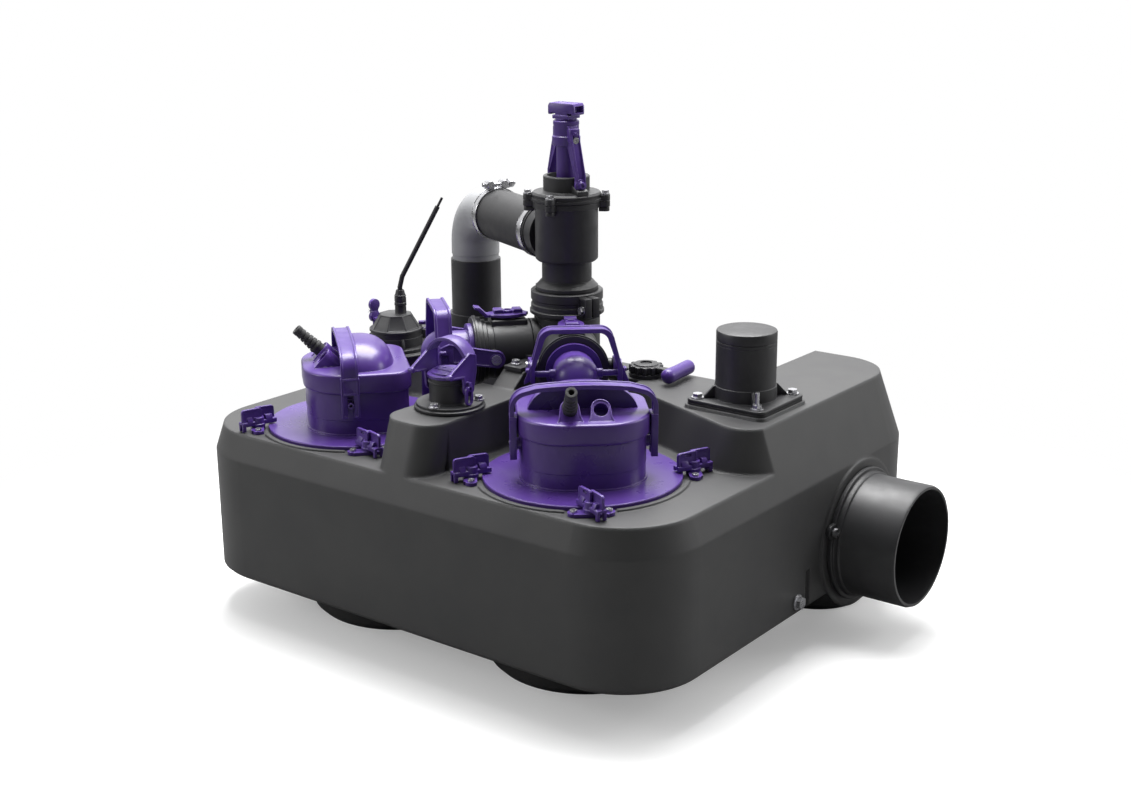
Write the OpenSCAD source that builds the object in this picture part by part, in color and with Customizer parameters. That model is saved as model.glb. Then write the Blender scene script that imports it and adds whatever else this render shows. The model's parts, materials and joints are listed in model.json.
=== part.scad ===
// Floor-standing duplex sewage lifting station.
// Origin on the floor under the tank's centre, +X towards the inlet, +Y to the back, +Z up.
// All sizes in millimetres.

/* [Tank] */
// Tank length along X at the crease
tank_l = 750; // [650:5:900]
// Tank depth along Y at the crease
tank_w = 678; // [600:2:800]
// Vertical corner radius of the tank
tank_r = 106; // [80:2:130]
// Height of the tank's flat bottom above the floor
bottom_z = 59; // [50:1:70]
// Height of the crease where the sides start to lean in
crease_z = 222; // [200:1:240]
// Height of the two pump decks
pump_deck_z = 256; // [246:1:266]
// Height of the rear deck
deck_z = 309; // [300:1:320]
// Height of the middle ridge
ridge_z = 317; // [310:1:325]
// Height of the low valley at the back
rear_z = 224; // [222:1:230]
// Height of the recess floor under the non-return valves
recess_z = 288; // [280:1:292]
// Inward lean of the upper sides per millimetre of height
rake = 0.34; // [0.2:0.02:0.45]
// Wall thickness of the tank
wall = 6; // [4:0.5:8]
// Half width of the middle ridge
ridge_half = 42; // [38:1:46]
// Outer radius of the sump pots and feet under the pumps
sump_r = 122; // [115:1:125]
// Radius of the rear feet
foot_r = 75; // [50:1:85]

/* [Pumps] */
// Pump axis distance from the middle plane
pump_x = 184; // [175:1:195]
// Pump axis distance in front of the tank's centre
pump_y = 197; // [190:1:205]
// Angle of the discharge line from the Y axis
line_a = 41; // [38:1:45]
// Radius of the pump flange
pump_flange_r = 120; // [115:1:125]
// Thickness of the pump flange
pump_flange_t = 5; // [4:0.5:8]
// Width of the motor cap across the discharge line
cap_w = 157; // [150:1:165]
// Length of the motor cap along the discharge line
cap_l = 137; // [130:1:145]
// Height of the motor housing above the flange
housing_h = 55; // [50:1:60]
// Height of the motor cap
cap_h = 26; // [22:1:30]
// Radius of the shaft
shaft_r = 8; // [6:0.5:10]
// Running clearance of the shaft in its bearings
shaft_gap = 0.05; // [0.02:0.01:0.1]
// Radius of the impeller
impeller_r = 48; // [40:1:50]
// Diameter of the cable bend sleeves
sleeve_d = 17; // [14:0.5:20]

/* [Pump handles] */
// Outer span of the carry handle
handle_w = 174; // [170:1:180]
// Width of the handle strap
handle_b = 22; // [18:1:30]
// Height of the handle above the cap
handle_rise = 35; // [30:1:45]
// Radius of the pins that guide the handle
handle_pin_r = 4; // [3:0.5:5]
// Running clearance of the handle on its pins
handle_gap = 0.1; // [0.05:0.01:0.1]

/* [Latches] */
// Distance of a latch from the pump axis
latch_r = 133; // [131:1:136]
// Length of the latch bar
latch_l = 49; // [44:1:52]
// Height of the latch wing above its bar
wing_h = 18; // [14:1:24]
// Radius of the latch pivot
latch_pin_r = 4; // [3:0.5:5]
// Running clearance of the latch on its pivot
latch_gap = 0.06; // [0.02:0.01:0.1]

/* [Discharge couplings] */
// Height of the discharge line above the floor
line_z = 346; // [344:1:350]
// Distance of the elbow dome from the pump axis
dome_t = 113; // [110:1:116]
// Outer radius of the elbow dome
dome_r = 29.5; // [28:0.5:31]
// Bore radius of the discharge line
line_bore_r = 22; // [18:0.5:24]
// Distance of the coupling face from the pump axis
face_t = 151; // [150:0.5:153]
// Outer radius of the coupling ring
ring_r = 36; // [34:0.5:38]
// Distance of the lever pivots from the pump axis
pivot_t = 175; // [172:1:178]
// Half distance between the lever's two arms
arm_half = 57; // [55:1:60]
// Radius of the lever pivots
lever_pin_r = 5; // [4:0.5:6]
// Running clearance of the lever on its pivots
lever_gap = 0.06; // [0.02:0.01:0.1]
// Radius of the trunnion rods on the elbow
rod_r = 4; // [3:0.5:5]

/* [Non-return valves] */
// Outer radius of the valve body
check_r = 39; // [37:0.5:40]
// End of the valve body along the discharge line
check_end = 229; // [225:1:231]
// Distance of the knob axis from the pump axis
knob_t = 200; // [196:1:204]
// Radius of the flap pivot
flap_pin_r = 4; // [3:0.5:5]

/* [Collector and shut-off valve] */
// Distance of the valve axis behind the tank's centre
valve_y = 15; // [10:1:20]
// Radius of the split clamp
collar_r = 48; // [46:1:50]
// Radius of the shut-off valve body
body_r = 41.5; // [40:0.5:43]
// Height of the outlet axis
outlet_z = 492; // [484:1:500]
// Direction of the outlet in plan
outlet_a = 156; // [150:1:165]
// Radius of the spindle
spindle_r = 13; // [11:0.5:14]
// Running clearance of the spindle in its guides
spindle_gap = 0.08; // [0.02:0.01:0.1]
// Lift of the shut-off plug
plug_lift = 44; // [30:1:46]

/* [Discharge loop] */
// Distance from the valve axis to the riser axis
loop_l = 280; // [270:1:290]
// Outer radius of the pipe ends inside the hose
spigot_r = 33; // [30:0.5:34]
// Outer radius of the hose
hose_r = 36; // [35:0.5:38]
// Outer radius of the grey elbow
bend_r = 35; // [34:0.5:37]
// Outer radius of the black riser
riser_r = 36.5; // [36:0.5:38]
// Top of the riser
riser_top = 416; // [405:1:422]

/* [Vent] */
// Vent axis, X and Y
vent_x = 275; // [265:1:285]
// Vent axis behind the tank's centre
vent_y = 22; // [12:1:32]
// Outer radius of the vent pipe
vent_r = 38; // [36:0.5:40]
// Top of the vent cap
vent_top = 407; // [400:1:420]

/* [Inlet] */
// Outer radius of the inlet pipe
inlet_r = 80; // [78:0.5:82]
// Inlet axis behind the tank's centre
inlet_y = 148; // [140:1:156]
// Inlet axis above the floor
inlet_z = 123; // [118:1:128]
// Length of the inlet pipe outside the tank
inlet_l = 92; // [80:1:110]

/* [Priming port] */
// Port axis in front of the tank's centre
port_y = 225; // [220:1:232]
// Radius of the port body
port_r = 25; // [23:0.5:27]
// Radius of the bail's pivots
bail_pin_r = 4; // [3:0.5:5]

/* [Level sensor] */
// Sensor axis left of the middle plane
sensor_x = 277; // [270:1:284]
// Sensor axis in front of the tank's centre
sensor_y = 24; // [10:1:34]
// Radius of the sensor ring
sensor_r = 37.5; // [35:0.5:40]
// Radius of the wing latch pins
wing_pin_r = 2.5; // [2:0.5:3]
// Running clearance of the wing latches
wing_gap = 0.05; // [0.02:0.01:0.1]

/* [Drain lever] */
// Drain lever hub, X
drain_x = 97; // [92:1:104]
// Drain lever hub, Y
drain_y = 61; // [56:1:66]

/* [Hidden] */
$fn = 96;
gap = 0.3;
seat = 0.15;
hw = tank_w / 2;
hl = tank_l / 2;
lobe_r = 37;
neck_r = 25.5;
flange_top = pump_deck_z + gap + pump_flange_t;
cap_z = flange_top + housing_h;
cap_top = cap_z + cap_h;
handle_t = -17;
deck_x = 313;
deck_y = 33;
deck_r = 38;
deck_lean = 0.3;
deck_turn = 21.05;
leg_z = flange_top + 27;
pin_z = leg_z + 16.5;
leg_t = 8;
latch_turn = 25;
cap_mid = -4;
strap = 5;
bearing_r = shaft_r + shaft_gap;
stator_bore = 26;
rotor_r = 25;
base_h = 4;
bar_z = flange_top + gap;
bar_lift = 4.2;
bar_h = 6;
rod_z = line_z + 8;
arch_t = 108;
arch_b = 16;
arch_top = 413;
arch_foot = 345;
collector_t = pump_x / sin(line_a);
flap_t = 186;
flap_z = line_z + 22;
collector_top = 388;
collar_z = 393;
collar_top = 424;
neck_z = 436;
body_z = 463;
body_top = 542;
cover_top = 554;
neck_top = 575;
yoke_z = 614;
yoke_top = 646;
grip_z = 652;
grip_top = 668;
lead_a = 37;
lug_a = [32.4, 102.4, 212.4, 282.4];
wing_a = [172, 52];
vent_plate_z = deck_z + 4 + 3;
port_z = ridge_z;
hose_end = loop_l - 66;
bend_c = 52;
port_flange_t = 4;
port_lid_z = port_z + 40;
bail_z = port_z + 28;
sensor_z = deck_z + gap;
gland_z = sensor_z + 25 + seat + 36;
bolt_r = 4;
small_r = 3;
m6 = 3;
feet = [[-156, -153, sump_r], [156, -153, sump_r], [-285, 200, foot_r], [285, 200, foot_r]];
port_bolts = [for (a = [40, 160, 280]) [36 * cos(a), 36 * sin(a)]];
sensor_bolts = [for (a = [70, 190, 310]) [50 * cos(a), 50 * sin(a)]];
vent_bolts = [[-43, -43], [43, -43], [43, 43], [-43, 43]];
purple = [0.29, 0.16, 0.53];
black = [0.13, 0.13, 0.14];
zinc = [0.75, 0.76, 0.78];
rubber = [0.08, 0.08, 0.09];
steel = [0.62, 0.63, 0.65];
grey = [0.5, 0.5, 0.51];

// Places a child at one pump, with +X along its discharge line
module at_pump(s) {
  translate([s * pump_x, -pump_y, 0])
    rotate([0, 0, 90 + s * line_a])
      children();
}

// Rounded rectangle centred on the origin
module round_rect(l, w, r) {
  square([l - 2 * r, w], center = true);
  square([l, w - 2 * r], center = true);
  for (x = [-1, 1], y = [-1, 1])
    translate([x * (l / 2 - r), y * (w / 2 - r)])
      circle(r);
}

// Rounded box whose sides lean in by lean per millimetre
module raked_box(l, w, r, z0, z1, lean) {
  d = (z1 - z0) * lean;
  h = z1 - z0;
  translate([0, l / 2 - r, z0])
    rotate([90, 0, 0])
      linear_extrude(l - 2 * r)
        polygon([[-w / 2, 0], [w / 2, 0], [w / 2 - d, h], [d - w / 2, h]]);
  translate([r - w / 2, 0, z0])
    rotate([90, 0, 90])
      linear_extrude(w - 2 * r)
        polygon([[-l / 2, 0], [l / 2, 0], [l / 2 - d, h], [d - l / 2, h]]);
  for (x = [-1, 1], y = [-1, 1])
    translate([x * (w / 2 - r), y * (l / 2 - r), z0])
      cylinder(h = h, r1 = r, r2 = r - d);
}

// Cylinder lying along +X
module bar_x(r, l) {
  rotate([0, 90, 0])
    cylinder(h = l, r = r);
}

// Cylinder lying along +Y
module bar_y(r, l) {
  rotate([-90, 0, 0])
    cylinder(h = l, r = r);
}

// Hexagon bolt with washer, seated at z = 0, shank down
module hex_bolt(r, shank, across, head) {
  translate([0, 0, -shank])
    cylinder(h = shank + 1, r = r);
  cylinder(h = 1.6, r = across * 0.72);
  translate([0, 0, 1.2])
    linear_extrude(head)
      circle(across / sqrt(3), $fn = 6);
}

// Round-headed screw with a hexagon recess, seated at z = 0, shank down
module pan_screw(r, shank, head_r, head) {
  translate([0, 0, -shank])
    cylinder(h = shank + 0.5, r = r);
  difference() {
    cylinder(h = head, r = head_r);
    translate([0, 0, head * 0.4])
      linear_extrude(head)
        circle(r * 0.75, $fn = 6);
  }
}

// Plan of the raised decks
module deck_plan() {
  for (s = [-1, 1])
    mirror([s > 0 ? 0 : 1, 0]) {
      polygon([[0, 98], [0, -60], [ridge_half, -60], [96.7, 11.7], [300, -66.6],
        [deck_x, -deck_y], [deck_x, 98]]);
      translate([deck_x, -deck_y])
        circle(deck_r - 2);
      translate([deck_x - 13, -deck_y])
        square([80, deck_y + 105]);
    }
  translate([215, 90])
    square([165, 245]);
  translate([-380, 90])
    square([260, 88]);
  translate([-380, 90])
    square([243, 105]);
  translate([-137, 178])
    circle(17);
}

// Leaning fronts and rounded front corners of the raised decks
module deck_fronts() {
  z0 = pump_deck_z - 2;
  h = deck_z - z0;
  over = 3;
  for (s = [-1, 1])
    mirror([s > 0 ? 0 : 1, 0, 0])
      translate([deck_x, -deck_y, z0]) {
        cylinder(h = h + over, r1 = deck_r + h * deck_lean, r2 = deck_r - over * deck_lean);
        rotate([0, 0, -deck_turn])
          translate([-230, -deck_r, 0])
            rotate([90, 0, 90])
              linear_extrude(230)
                polygon([[-h * deck_lean, 0], [6, 0], [6, h + over], [over * deck_lean, h + over]]);
      }
}

// Outer form of the tank
module tank_outer() {
  translate([0, 0, bottom_z + 4])
    linear_extrude(crease_z - bottom_z - 4)
      round_rect(tank_l, tank_w, tank_r);
  translate([0, 0, bottom_z])
    raked_box(tank_w - 8, tank_l - 8, tank_r - 4, 0, 4.01, -0.9);
  intersection() {
    raked_box(tank_w, tank_l, tank_r, crease_z, deck_z, rake);
    union() {
      translate([-hl - 10, -hw - 10, crease_z - 10])
        cube([tank_l + 20, tank_w + 20, pump_deck_z - crease_z + 10]);
      translate([0, 0, pump_deck_z - 6])
        linear_extrude(deck_z)
          deck_plan();
      deck_fronts();
    }
  }
  intersection() {
    raked_box(tank_w, tank_l, tank_r, crease_z, ridge_z, rake);
    union() {
      translate([0, 0, pump_deck_z - 6])
        linear_extrude(ridge_z)
          polygon([[-ridge_half, -276], [ridge_half, -276], [ridge_half - 4, -118],
            [4 - ridge_half, -118]]);
      translate([0, -hw - crease_z * rake, 0])
        rotate([-atan(rake), 0, 0]) {
          translate([30 - ridge_half, 0, 0])
            cube([2 * ridge_half - 60, 60, 400]);
          for (x = [-1, 1])
            translate([x * (ridge_half - 30), 30, 0])
              cylinder(h = 400, r = 30);
        }
    }
  }
  // Pedestal with a sloping front under the valve bridge
  translate([-17, 0, 0])
    rotate([90, 0, 90])
      linear_extrude(34)
        polygon([[-124, ridge_z - 4], [-122, ridge_z], [-98, line_z - 10 - gap],
          [-74, line_z - 10 - gap], [-74, recess_z - 2], [-124, recess_z - 2]]);
  for (f = feet)
    translate([f[0], f[1], 0]) {
      translate([0, 0, 8])
        cylinder(h = bottom_z, r = f[2]);
      cylinder(h = 8, r1 = f[2] - 8, r2 = f[2]);
    }
  for (s = [-1, 1])
    at_pump(s)
      translate([0, 0, pump_deck_z - 1])
        difference() {
          cylinder(h = 3, r = 129);
          translate([0, 0, -1])
            cylinder(h = 6, r = pump_flange_r + 3);
          translate([dome_t, 0, -1])
            cylinder(h = 6, r = lobe_r + 3);
          for (a = [90, 180, 270])
            rotate([0, 0, a])
              translate([110, -30, 1])
                cube([40, 60, 6]);
        }
  // Boss ring round the inlet
  translate([hl - 1, inlet_y, inlet_z])
    bar_x(99, 4);
  // Seats for vent and sensor
  translate([vent_x, vent_y, deck_z - 1])
    linear_extrude(5)
      round_rect(118, 112, 12);
  translate([-sensor_x, -sensor_y, deck_z - 1])
    cylinder(h = 1, r = 60);
}

// Hollow of the tank
module tank_hollow() {
  translate([0, 0, bottom_z + wall])
    linear_extrude(rear_z - bottom_z - 2 * wall)
      round_rect(tank_l - 2 * wall - 24, tank_w - 2 * wall - 24, tank_r - wall - 12);
  intersection() {
    translate([0, 0, rear_z - wall - 20])
      linear_extrude(pump_deck_z - rear_z + 20)
        round_rect(tank_l - 2 * wall - 24, tank_w - 2 * wall - 24, tank_r - wall - 12);
    translate([-hl, -hw, 0])
      cube([tank_l, hw + 90, deck_z]);
  }
  for (f = feet)
    translate([f[0], f[1], wall])
      cylinder(h = bottom_z + 20, r = f[2] - wall);
  translate([225, -28, 206])
    cube([108, 312, deck_z - wall - 206]);
  translate([-334, 8, 206])
    cube([200, 166, deck_z - wall - 206]);
  translate([-34, -290, 230])
    cube([68, 160, ridge_z - wall - 230]);
  translate([-110, 18, 230])
    cube([330, 70, recess_z - wall - 230]);
}

module tank() {
  color(black)
    difference() {
      tank_outer();
      tank_hollow();
      // Low valley behind the raised decks
      translate([0, 0, rear_z])
        linear_extrude(200)
          polygon([[-120, 98], [215, 98], [215, 400], [-400, 400], [-400, 195], [-137, 195],
            [-120, 178]]);
      // Recess under the non-return valves and collector
      difference() {
        union() {
          translate([-106, -118, recess_z])
            cube([212, 154, 60]);
          translate([-62, -118, recess_z])
            cube([124, 194, 60]);
        }
        translate([-18, -125, recess_z - 1])
          cube([36, 52, 80]);
      }
      // Pump openings
      for (s = [-1, 1])
        at_pump(s) {
          translate([0, 0, pump_deck_z - 20])
            cylinder(h = 40, r = 104);
          translate([dome_t, 0, pump_deck_z - 20])
            cylinder(h = 40, r = 27);
          for (a = [90, 180, 270])
            rotate([0, 0, a])
              for (y = [-20, 20])
                translate([latch_r, y, pump_deck_z - 20])
                  cylinder(h = 40, r = m6);
        }
      translate([hl - 40, inlet_y, inlet_z])
        bar_x(inlet_r - 6, 60);
      for (a = [18, 162, 288])
        translate([hl - 20, inlet_y + 90 * cos(a), inlet_z + 90 * sin(a)])
          bar_x(m6, 40);
      translate([vent_x, vent_y, deck_z - 20])
        cylinder(h = 40, r = 32);
      for (b = vent_bolts)
        translate([vent_x + b[0], vent_y + b[1], deck_z - 14])
          cylinder(h = 40, r = bolt_r);
      translate([0, -port_y, ridge_z - 20])
        cylinder(h = 40, r = port_r - 5);
      for (b = port_bolts)
        translate([b[0], b[1] - port_y, ridge_z - 14])
          cylinder(h = 40, r = bolt_r);
      translate([-sensor_x, -sensor_y, crease_z - 20])
        cylinder(h = 120, r = 24);
      for (b = sensor_bolts)
        translate([b[0] - sensor_x, b[1] - sensor_y, deck_z - 14])
          cylinder(h = 40, r = bolt_r);
      translate([loop_l * cos(outlet_a), valve_y + loop_l * sin(outlet_a), deck_z - 30])
        cylinder(h = 60, r = spigot_r - 4);
      translate([-5, -88, line_z - 35])
        cylinder(h = 40, r = bolt_r);
      translate([drain_x, drain_y, deck_z - 10])
        cylinder(h = 20, r = 8.2);
      // Slots and holes of the floor anchors
      for (s = [-1, 1])
        mirror([s > 0 ? 0 : 1, 0, 0]) {
          translate([hl - 5, 13, bottom_z - 1])
            cube([10, 11, 54]);
          translate([hl - 20, -7, 77])
            bar_x(5, 30);
        }
    }
}

module anchor_bolts() {
  color(zinc)
    for (s = [-1, 1])
      mirror([s > 0 ? 0 : 1, 0, 0])
        translate([hl + seat, -7, 77])
          rotate([0, 90, 0])
            hex_bolt(5 - 0.1, 14, 14, 7);
}

module inlet_pipe() {
  color(black)
    translate([hl + 3 + 1.5, inlet_y, inlet_z])
      difference() {
        union() {
          bar_x(inlet_r, inlet_l - 4.5);
          bar_x(88, 5);
          bar_x(inlet_r + 3, 12);
          for (a = [18, 162, 288])
            rotate([a, 0, 0])
              translate([0, 90, 0])
                bar_x(9, 7);
          for (a = [18, 162, 288])
            rotate([a, 0, 0])
              translate([0, 70, -9])
                cube([6, 20, 18]);
        }
        translate([-1, 0, 0])
          bar_x(inlet_r - 5, inlet_l + 2);
        for (a = [18, 162, 288])
          rotate([a, 0, 0])
            translate([-1, 90, 0])
              bar_x(m6 + 0.3, 20);
      }
}

// Rubber ring of rectangular section lying flat
module flat_ring(r1, r0, t) {
  difference() {
    cylinder(h = t, r = r1);
    translate([0, 0, -1])
      cylinder(h = t + 2, r = r0);
  }
}

module seals() {
  color(rubber) {
    // Inlet flange seal
    translate([hl + 3 + seat, inlet_y, inlet_z])
      rotate([0, 90, 0])
        flat_ring(87, 74.5, 1.2);
    // Vent gasket
    translate([vent_x, vent_y, deck_z + 4 + seat])
      linear_extrude(2.6)
        difference() {
          round_rect(112, 106, 10);
          circle(33);
          for (b = vent_bolts)
            translate(b)
              circle(bolt_r + 0.4);
        }
    // Pump flange rings in their grooves, and coupling rings
    for (s = [-1, 1])
      at_pump(s) {
        translate([0, 0, pump_deck_z + gap + 0.1])
          rotate_extrude()
            translate([109.5, 1.3])
              circle(1.3, $fn = 24);
        translate([face_t - 1, 0, line_z])
          rotate([0, 90, 0])
            rotate_extrude()
              translate([28, 0])
                circle(1, $fn = 24);
      }
    // Ring under the shut-off plug's chamber cover
    translate([0, valve_y, body_top - 1.6])
      rotate_extrude()
        translate([37.3, 0])
          circle(1.3, $fn = 24);
  }
}

module vent_socket() {
  color(black)
    translate([vent_x, vent_y, vent_plate_z])
      difference() {
        union() {
          linear_extrude(4.5)
            round_rect(112, 106, 10);
          cylinder(h = vent_top - vent_plate_z - 18, r = vent_r);
          // Thicker root between the gussets
          cylinder(h = 20.5, r = vent_r + 1);
          for (a = [45 : 90 : 315])
            rotate([0, 0, a])
              translate([0, -2, 0])
                rotate([90, 0, 0])
                  translate([0, 0, -4])
                    linear_extrude(4)
                      polygon([[vent_r - 3, 3], [vent_r + 15, 3],
                        [vent_r + 15, 6], [vent_r - 3, 20]]);
        }
        translate([0, 0, -1])
          cylinder(h = 100, r = vent_r - 4);
        for (b = vent_bolts)
          translate([b[0], b[1], -1])
            cylinder(h = 20, r = bolt_r + 0.3);
        for (b = vent_bolts)
          translate([b[0], b[1], 4.5])
            cylinder(h = 20, r = 10.5);
      }
}

module vent_cap() {
  color(black)
    translate([vent_x, vent_y, vent_top - 18 + gap])
      difference() {
        union() {
          cylinder(h = 18 - gap - 1.5, r = vent_r);
          translate([0, 0, 18 - gap - 1.5])
            cylinder(h = 1.5, r1 = vent_r, r2 = vent_r - 1.5);
          translate([0, 0, -10])
            cylinder(h = 12, r = vent_r - 4 - 0.1);
        }
        translate([0, 0, -11])
          cylinder(h = 25, r = vent_r - 7.5);
        difference() {
          translate([0, 0, 4])
            cylinder(h = 1.4, r = vent_r + 1);
          translate([0, 0, 3])
            cylinder(h = 4, r = vent_r - 0.8);
        }
        translate([0, 0, 18 - gap - 0.8])
          cylinder(h = 2, r = 3);
      }
}

module flange_bolts() {
  color(zinc) {
    for (b = vent_bolts)
      translate([vent_x + b[0], vent_y + b[1], vent_plate_z + 4.5 + seat])
        hex_bolt(bolt_r - 0.1, 17, 11, 5);
    // One vent bolt is a long stud
    translate([vent_x + 43, vent_y - 43, vent_plate_z + 9])
      cylinder(h = 17, r = 2.6);
    for (b = port_bolts)
      translate([b[0], b[1] - port_y, port_z + gap + port_flange_t + 4 + seat])
        hex_bolt(bolt_r - 0.1, 14, 9.5, 4.5);
    for (b = sensor_bolts)
      translate([b[0] - sensor_x, b[1] - sensor_y, sensor_z + 5 + seat])
        hex_bolt(bolt_r - 0.1, 12, 9.5, 4.5);
    translate([-5, -88, line_z - 5 + seat])
      hex_bolt(bolt_r - 0.1, 14, 10, 4.5);
  }
}

module small_screws() {
  color(zinc) {
    for (s = [-1, 1])
      at_pump(s) {
        for (a = [90, 180, 270])
          rotate([0, 0, a])
            for (y = [-20, 20])
              translate([latch_r, y, pump_deck_z + gap + base_h + seat])
                pan_screw(m6 - 0.1, 12, 4.2, 2.6);
      }
    for (a = [18, 162, 288])
      translate([hl + 11.6, inlet_y + 90 * cos(a), inlet_z + 90 * sin(a)])
        rotate([0, 90, 0])
          pan_screw(m6 - 0.1, 14, 6, 4.5);
  }
}

// Plan of the motor housing, shrunk by d all round
module housing_plan(d) {
  translate([cap_mid, 0])
    round_rect(cap_l - 2 * d, cap_w - 2 * d, 60 - d);
  translate([cap_mid + cap_l / 2 - 45, 0])
    round_rect(90 - 2 * d, cap_w - 2 * d, 30 - d);
}

module housing(s) {
  color(purple)
    at_pump(s)
      difference() {
        union() {
          // Flange with a lobe under the discharge elbow
          translate([0, 0, pump_deck_z + gap])
            cylinder(h = pump_flange_t - 1, r = pump_flange_r);
          translate([0, 0, flange_top - 1])
            cylinder(h = 1, r1 = pump_flange_r, r2 = pump_flange_r - 1);
          translate([dome_t, 0, pump_deck_z + gap])
            cylinder(h = pump_flange_t, r = lobe_r);
          translate([70, -lobe_r, pump_deck_z + gap])
            cube([dome_t - 70, 2 * lobe_r, pump_flange_t]);
          translate([0, 0, flange_top - 1])
            linear_extrude(27)
              housing_plan(4.5);
          translate([0, 0, flange_top + 20])
            linear_extrude(housing_h - 20)
              housing_plan(4);
          translate([0, 0, flange_top - 1])
            linear_extrude(3)
              housing_plan(2.5);
          // Bosses and pins that guide the handle
          for (y = [-1, 1])
            translate([handle_t, y * (cap_w / 2 - 9), pin_z])
              rotate([y * -90, 0, 0]) {
                cylinder(h = handle_w / 2 - cap_w / 2 + 9 - leg_t - gap, r = 7);
                cylinder(h = handle_w / 2 - cap_w / 2 + 9.5, r = handle_pin_r);
              }
          // Lower bearing and volute spigot below the deck
          translate([0, 0, pump_deck_z - 46])
            cylinder(h = 50, r = 62);
          translate([0, 0, pump_deck_z - 16])
            cylinder(h = 20, r = 100);
        }
        // Motor space
        translate([0, 0, pump_deck_z - 36])
          cylinder(h = housing_h + 90, r = 54);
        translate([0, 0, pump_deck_z - 60])
          cylinder(h = 60, r = bearing_r);
        // Room for the discharge neck of the volute
        translate([dome_t, 0, pump_deck_z - 60])
          cylinder(h = 60, r = neck_r + gap);
        // Groove of the flange ring
        translate([0, 0, pump_deck_z])
          flat_ring(111.2, 107.8, 3.2);
        // Discharge way through the lobe
        translate([dome_t, 0, pump_deck_z - 40])
          cylinder(h = 80, r = line_bore_r);
        for (y = [-1, 1])
          translate([handle_t, y * (handle_w / 2 - 6), pin_z])
            rotate([y * -90, 0, 0])
              cylinder(h = 10, r = handle_pin_r / 2);
      }
}

module cap(s) {
  color(purple)
    at_pump(s)
      difference() {
        union() {
          translate([0, 0, cap_z + seat])
            linear_extrude(cap_h - 3)
              housing_plan(0);
          translate([0, 0, cap_z + cap_h - 4])
            linear_extrude(2.5)
              housing_plan(1);
          translate([0, 0, cap_z + cap_h - 3])
            linear_extrude(3)
              housing_plan(2.5);
          // Vaulted bump behind the handle
          intersection() {
            translate([0, -20, cap_top - 16])
              union() {
                bar_y(47.5, 40);
                for (y = [0, 40])
                  translate([0, y, 0])
                    sphere(47.5);
              }
            translate([-5, -70, cap_top - 4])
              cube([60, 140, 60]);
          }
          // Two ramps for the cables
          intersection() {
            for (y = [-18, 18])
              translate([-46, y, cap_top + 10])
                rotate([0, -45, 0])
                  translate([0, 0, -24])
                    linear_extrude(26) {
                      translate([2, 0])
                        circle(11.5);
                      polygon([[4, -11.5], [4, 11.5], [-10, 13], [-18.4, 16.5], [-30, 16.5],
                        [-30, -16.5], [-18.4, -16.5], [-10, -13]]);
                    }
            translate([-70, -40, cap_top - 2])
              cube([60, 80, 40]);
          }
        }
        // Hollow of the cap
        translate([0, 0, cap_z - 1])
          linear_extrude(cap_h - 4)
            housing_plan(4.5);
        // Cable bores
        for (y = [-18, 18])
          translate([-46, y, cap_top + 10])
            rotate([0, -45, 0])
              translate([0, 0, -14])
                cylinder(h = 40, r = sleeve_d / 2 + 0.05);
      }
}

module handle(s) {
  hz = cap_top + handle_rise;
  half = handle_w / 2;
  color(purple)
    at_pump(s)
      translate([handle_t, 0, 0])
        difference() {
          union() {
            // Web of the I section
            translate([-handle_b / 2 + 3, 0, 0])
              rotate([90, 0, 90])
                linear_extrude(handle_b - 6)
                  handle_band(half - 1.5, hz - 2, strap - 1.5);
            // Two rims
            for (x = [-handle_b / 2, handle_b / 2 - 3])
              translate([x, 0, 0])
                rotate([90, 0, 90])
                  linear_extrude(3)
                    handle_band(half, hz, strap + 1.5);
            // Slotted lower legs
            for (y = [-1, 1])
              translate([-handle_b / 2 - 0.5, y > 0 ? half - leg_t : -half, leg_z])
                cube([handle_b + 1, leg_t, 52]);
          }
          for (y = [-1, 1])
            handle_slot(y);
        }
}

// Slot through the handle leg on side y
module handle_slot(y) {
  w = handle_pin_r + handle_gap;
  translate([0, y * handle_w / 2 - 20, leg_z + 35])
    bar_y(w, 40);
  translate([-w, y * handle_w / 2 - 20, leg_z - 1])
    cube([2 * w, 40, 36]);
}

// Arched band outline of the handle in Y and Z
module handle_band(half, top, t) {
  difference() {
    handle_arch(half, top);
    handle_arch(half - t, top - t);
  }
}

// Filled outline under the handle arch
module handle_arch(half, top) {
  r = 20;
  translate([-half, flange_top + 40])
    square([2 * half, top - flange_top - 46 - r]);
  translate([-half + r, flange_top + 40])
    square([2 * half - 2 * r, top - flange_top - 46]);
  for (y = [-1, 1])
    translate([y * (half - r), top - r - 6])
      circle(r);
  intersection() {
    translate([0, top - 500])
      circle(500, $fn = 360);
    translate([-half + r, top - 30])
      square([2 * half - 2 * r, 30]);
  }
}

module bend_sleeves() {
  color(rubber)
    for (s = [-1, 1])
      at_pump(s)
        translate([-46, 18, cap_top + 10])
          rotate([0, -45, 0])
            translate([0, 0, -8])
              difference() {
                union() {
                  cylinder(h = 30, r = sleeve_d / 2);
                  cylinder(h = 44, r = sleeve_d / 2 - 1);
                }
                translate([0, 0, 30])
                  cylinder(h = 20, r = 3.2);
                for (z = [20 : 6 : 38])
                  translate([0, 0, z])
                    flat_ring(sleeve_d, sleeve_d / 2 - 1.8, 1.6);
              }
}

module stators() {
  color(steel)
    for (s = [-1, 1])
      at_pump(s)
        translate([0, 0, pump_deck_z - 20])
          difference() {
            cylinder(h = 70, r = 54 - 0.1);
            translate([0, 0, -1])
              cylinder(h = 80, r = stator_bore);
          }
}

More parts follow.
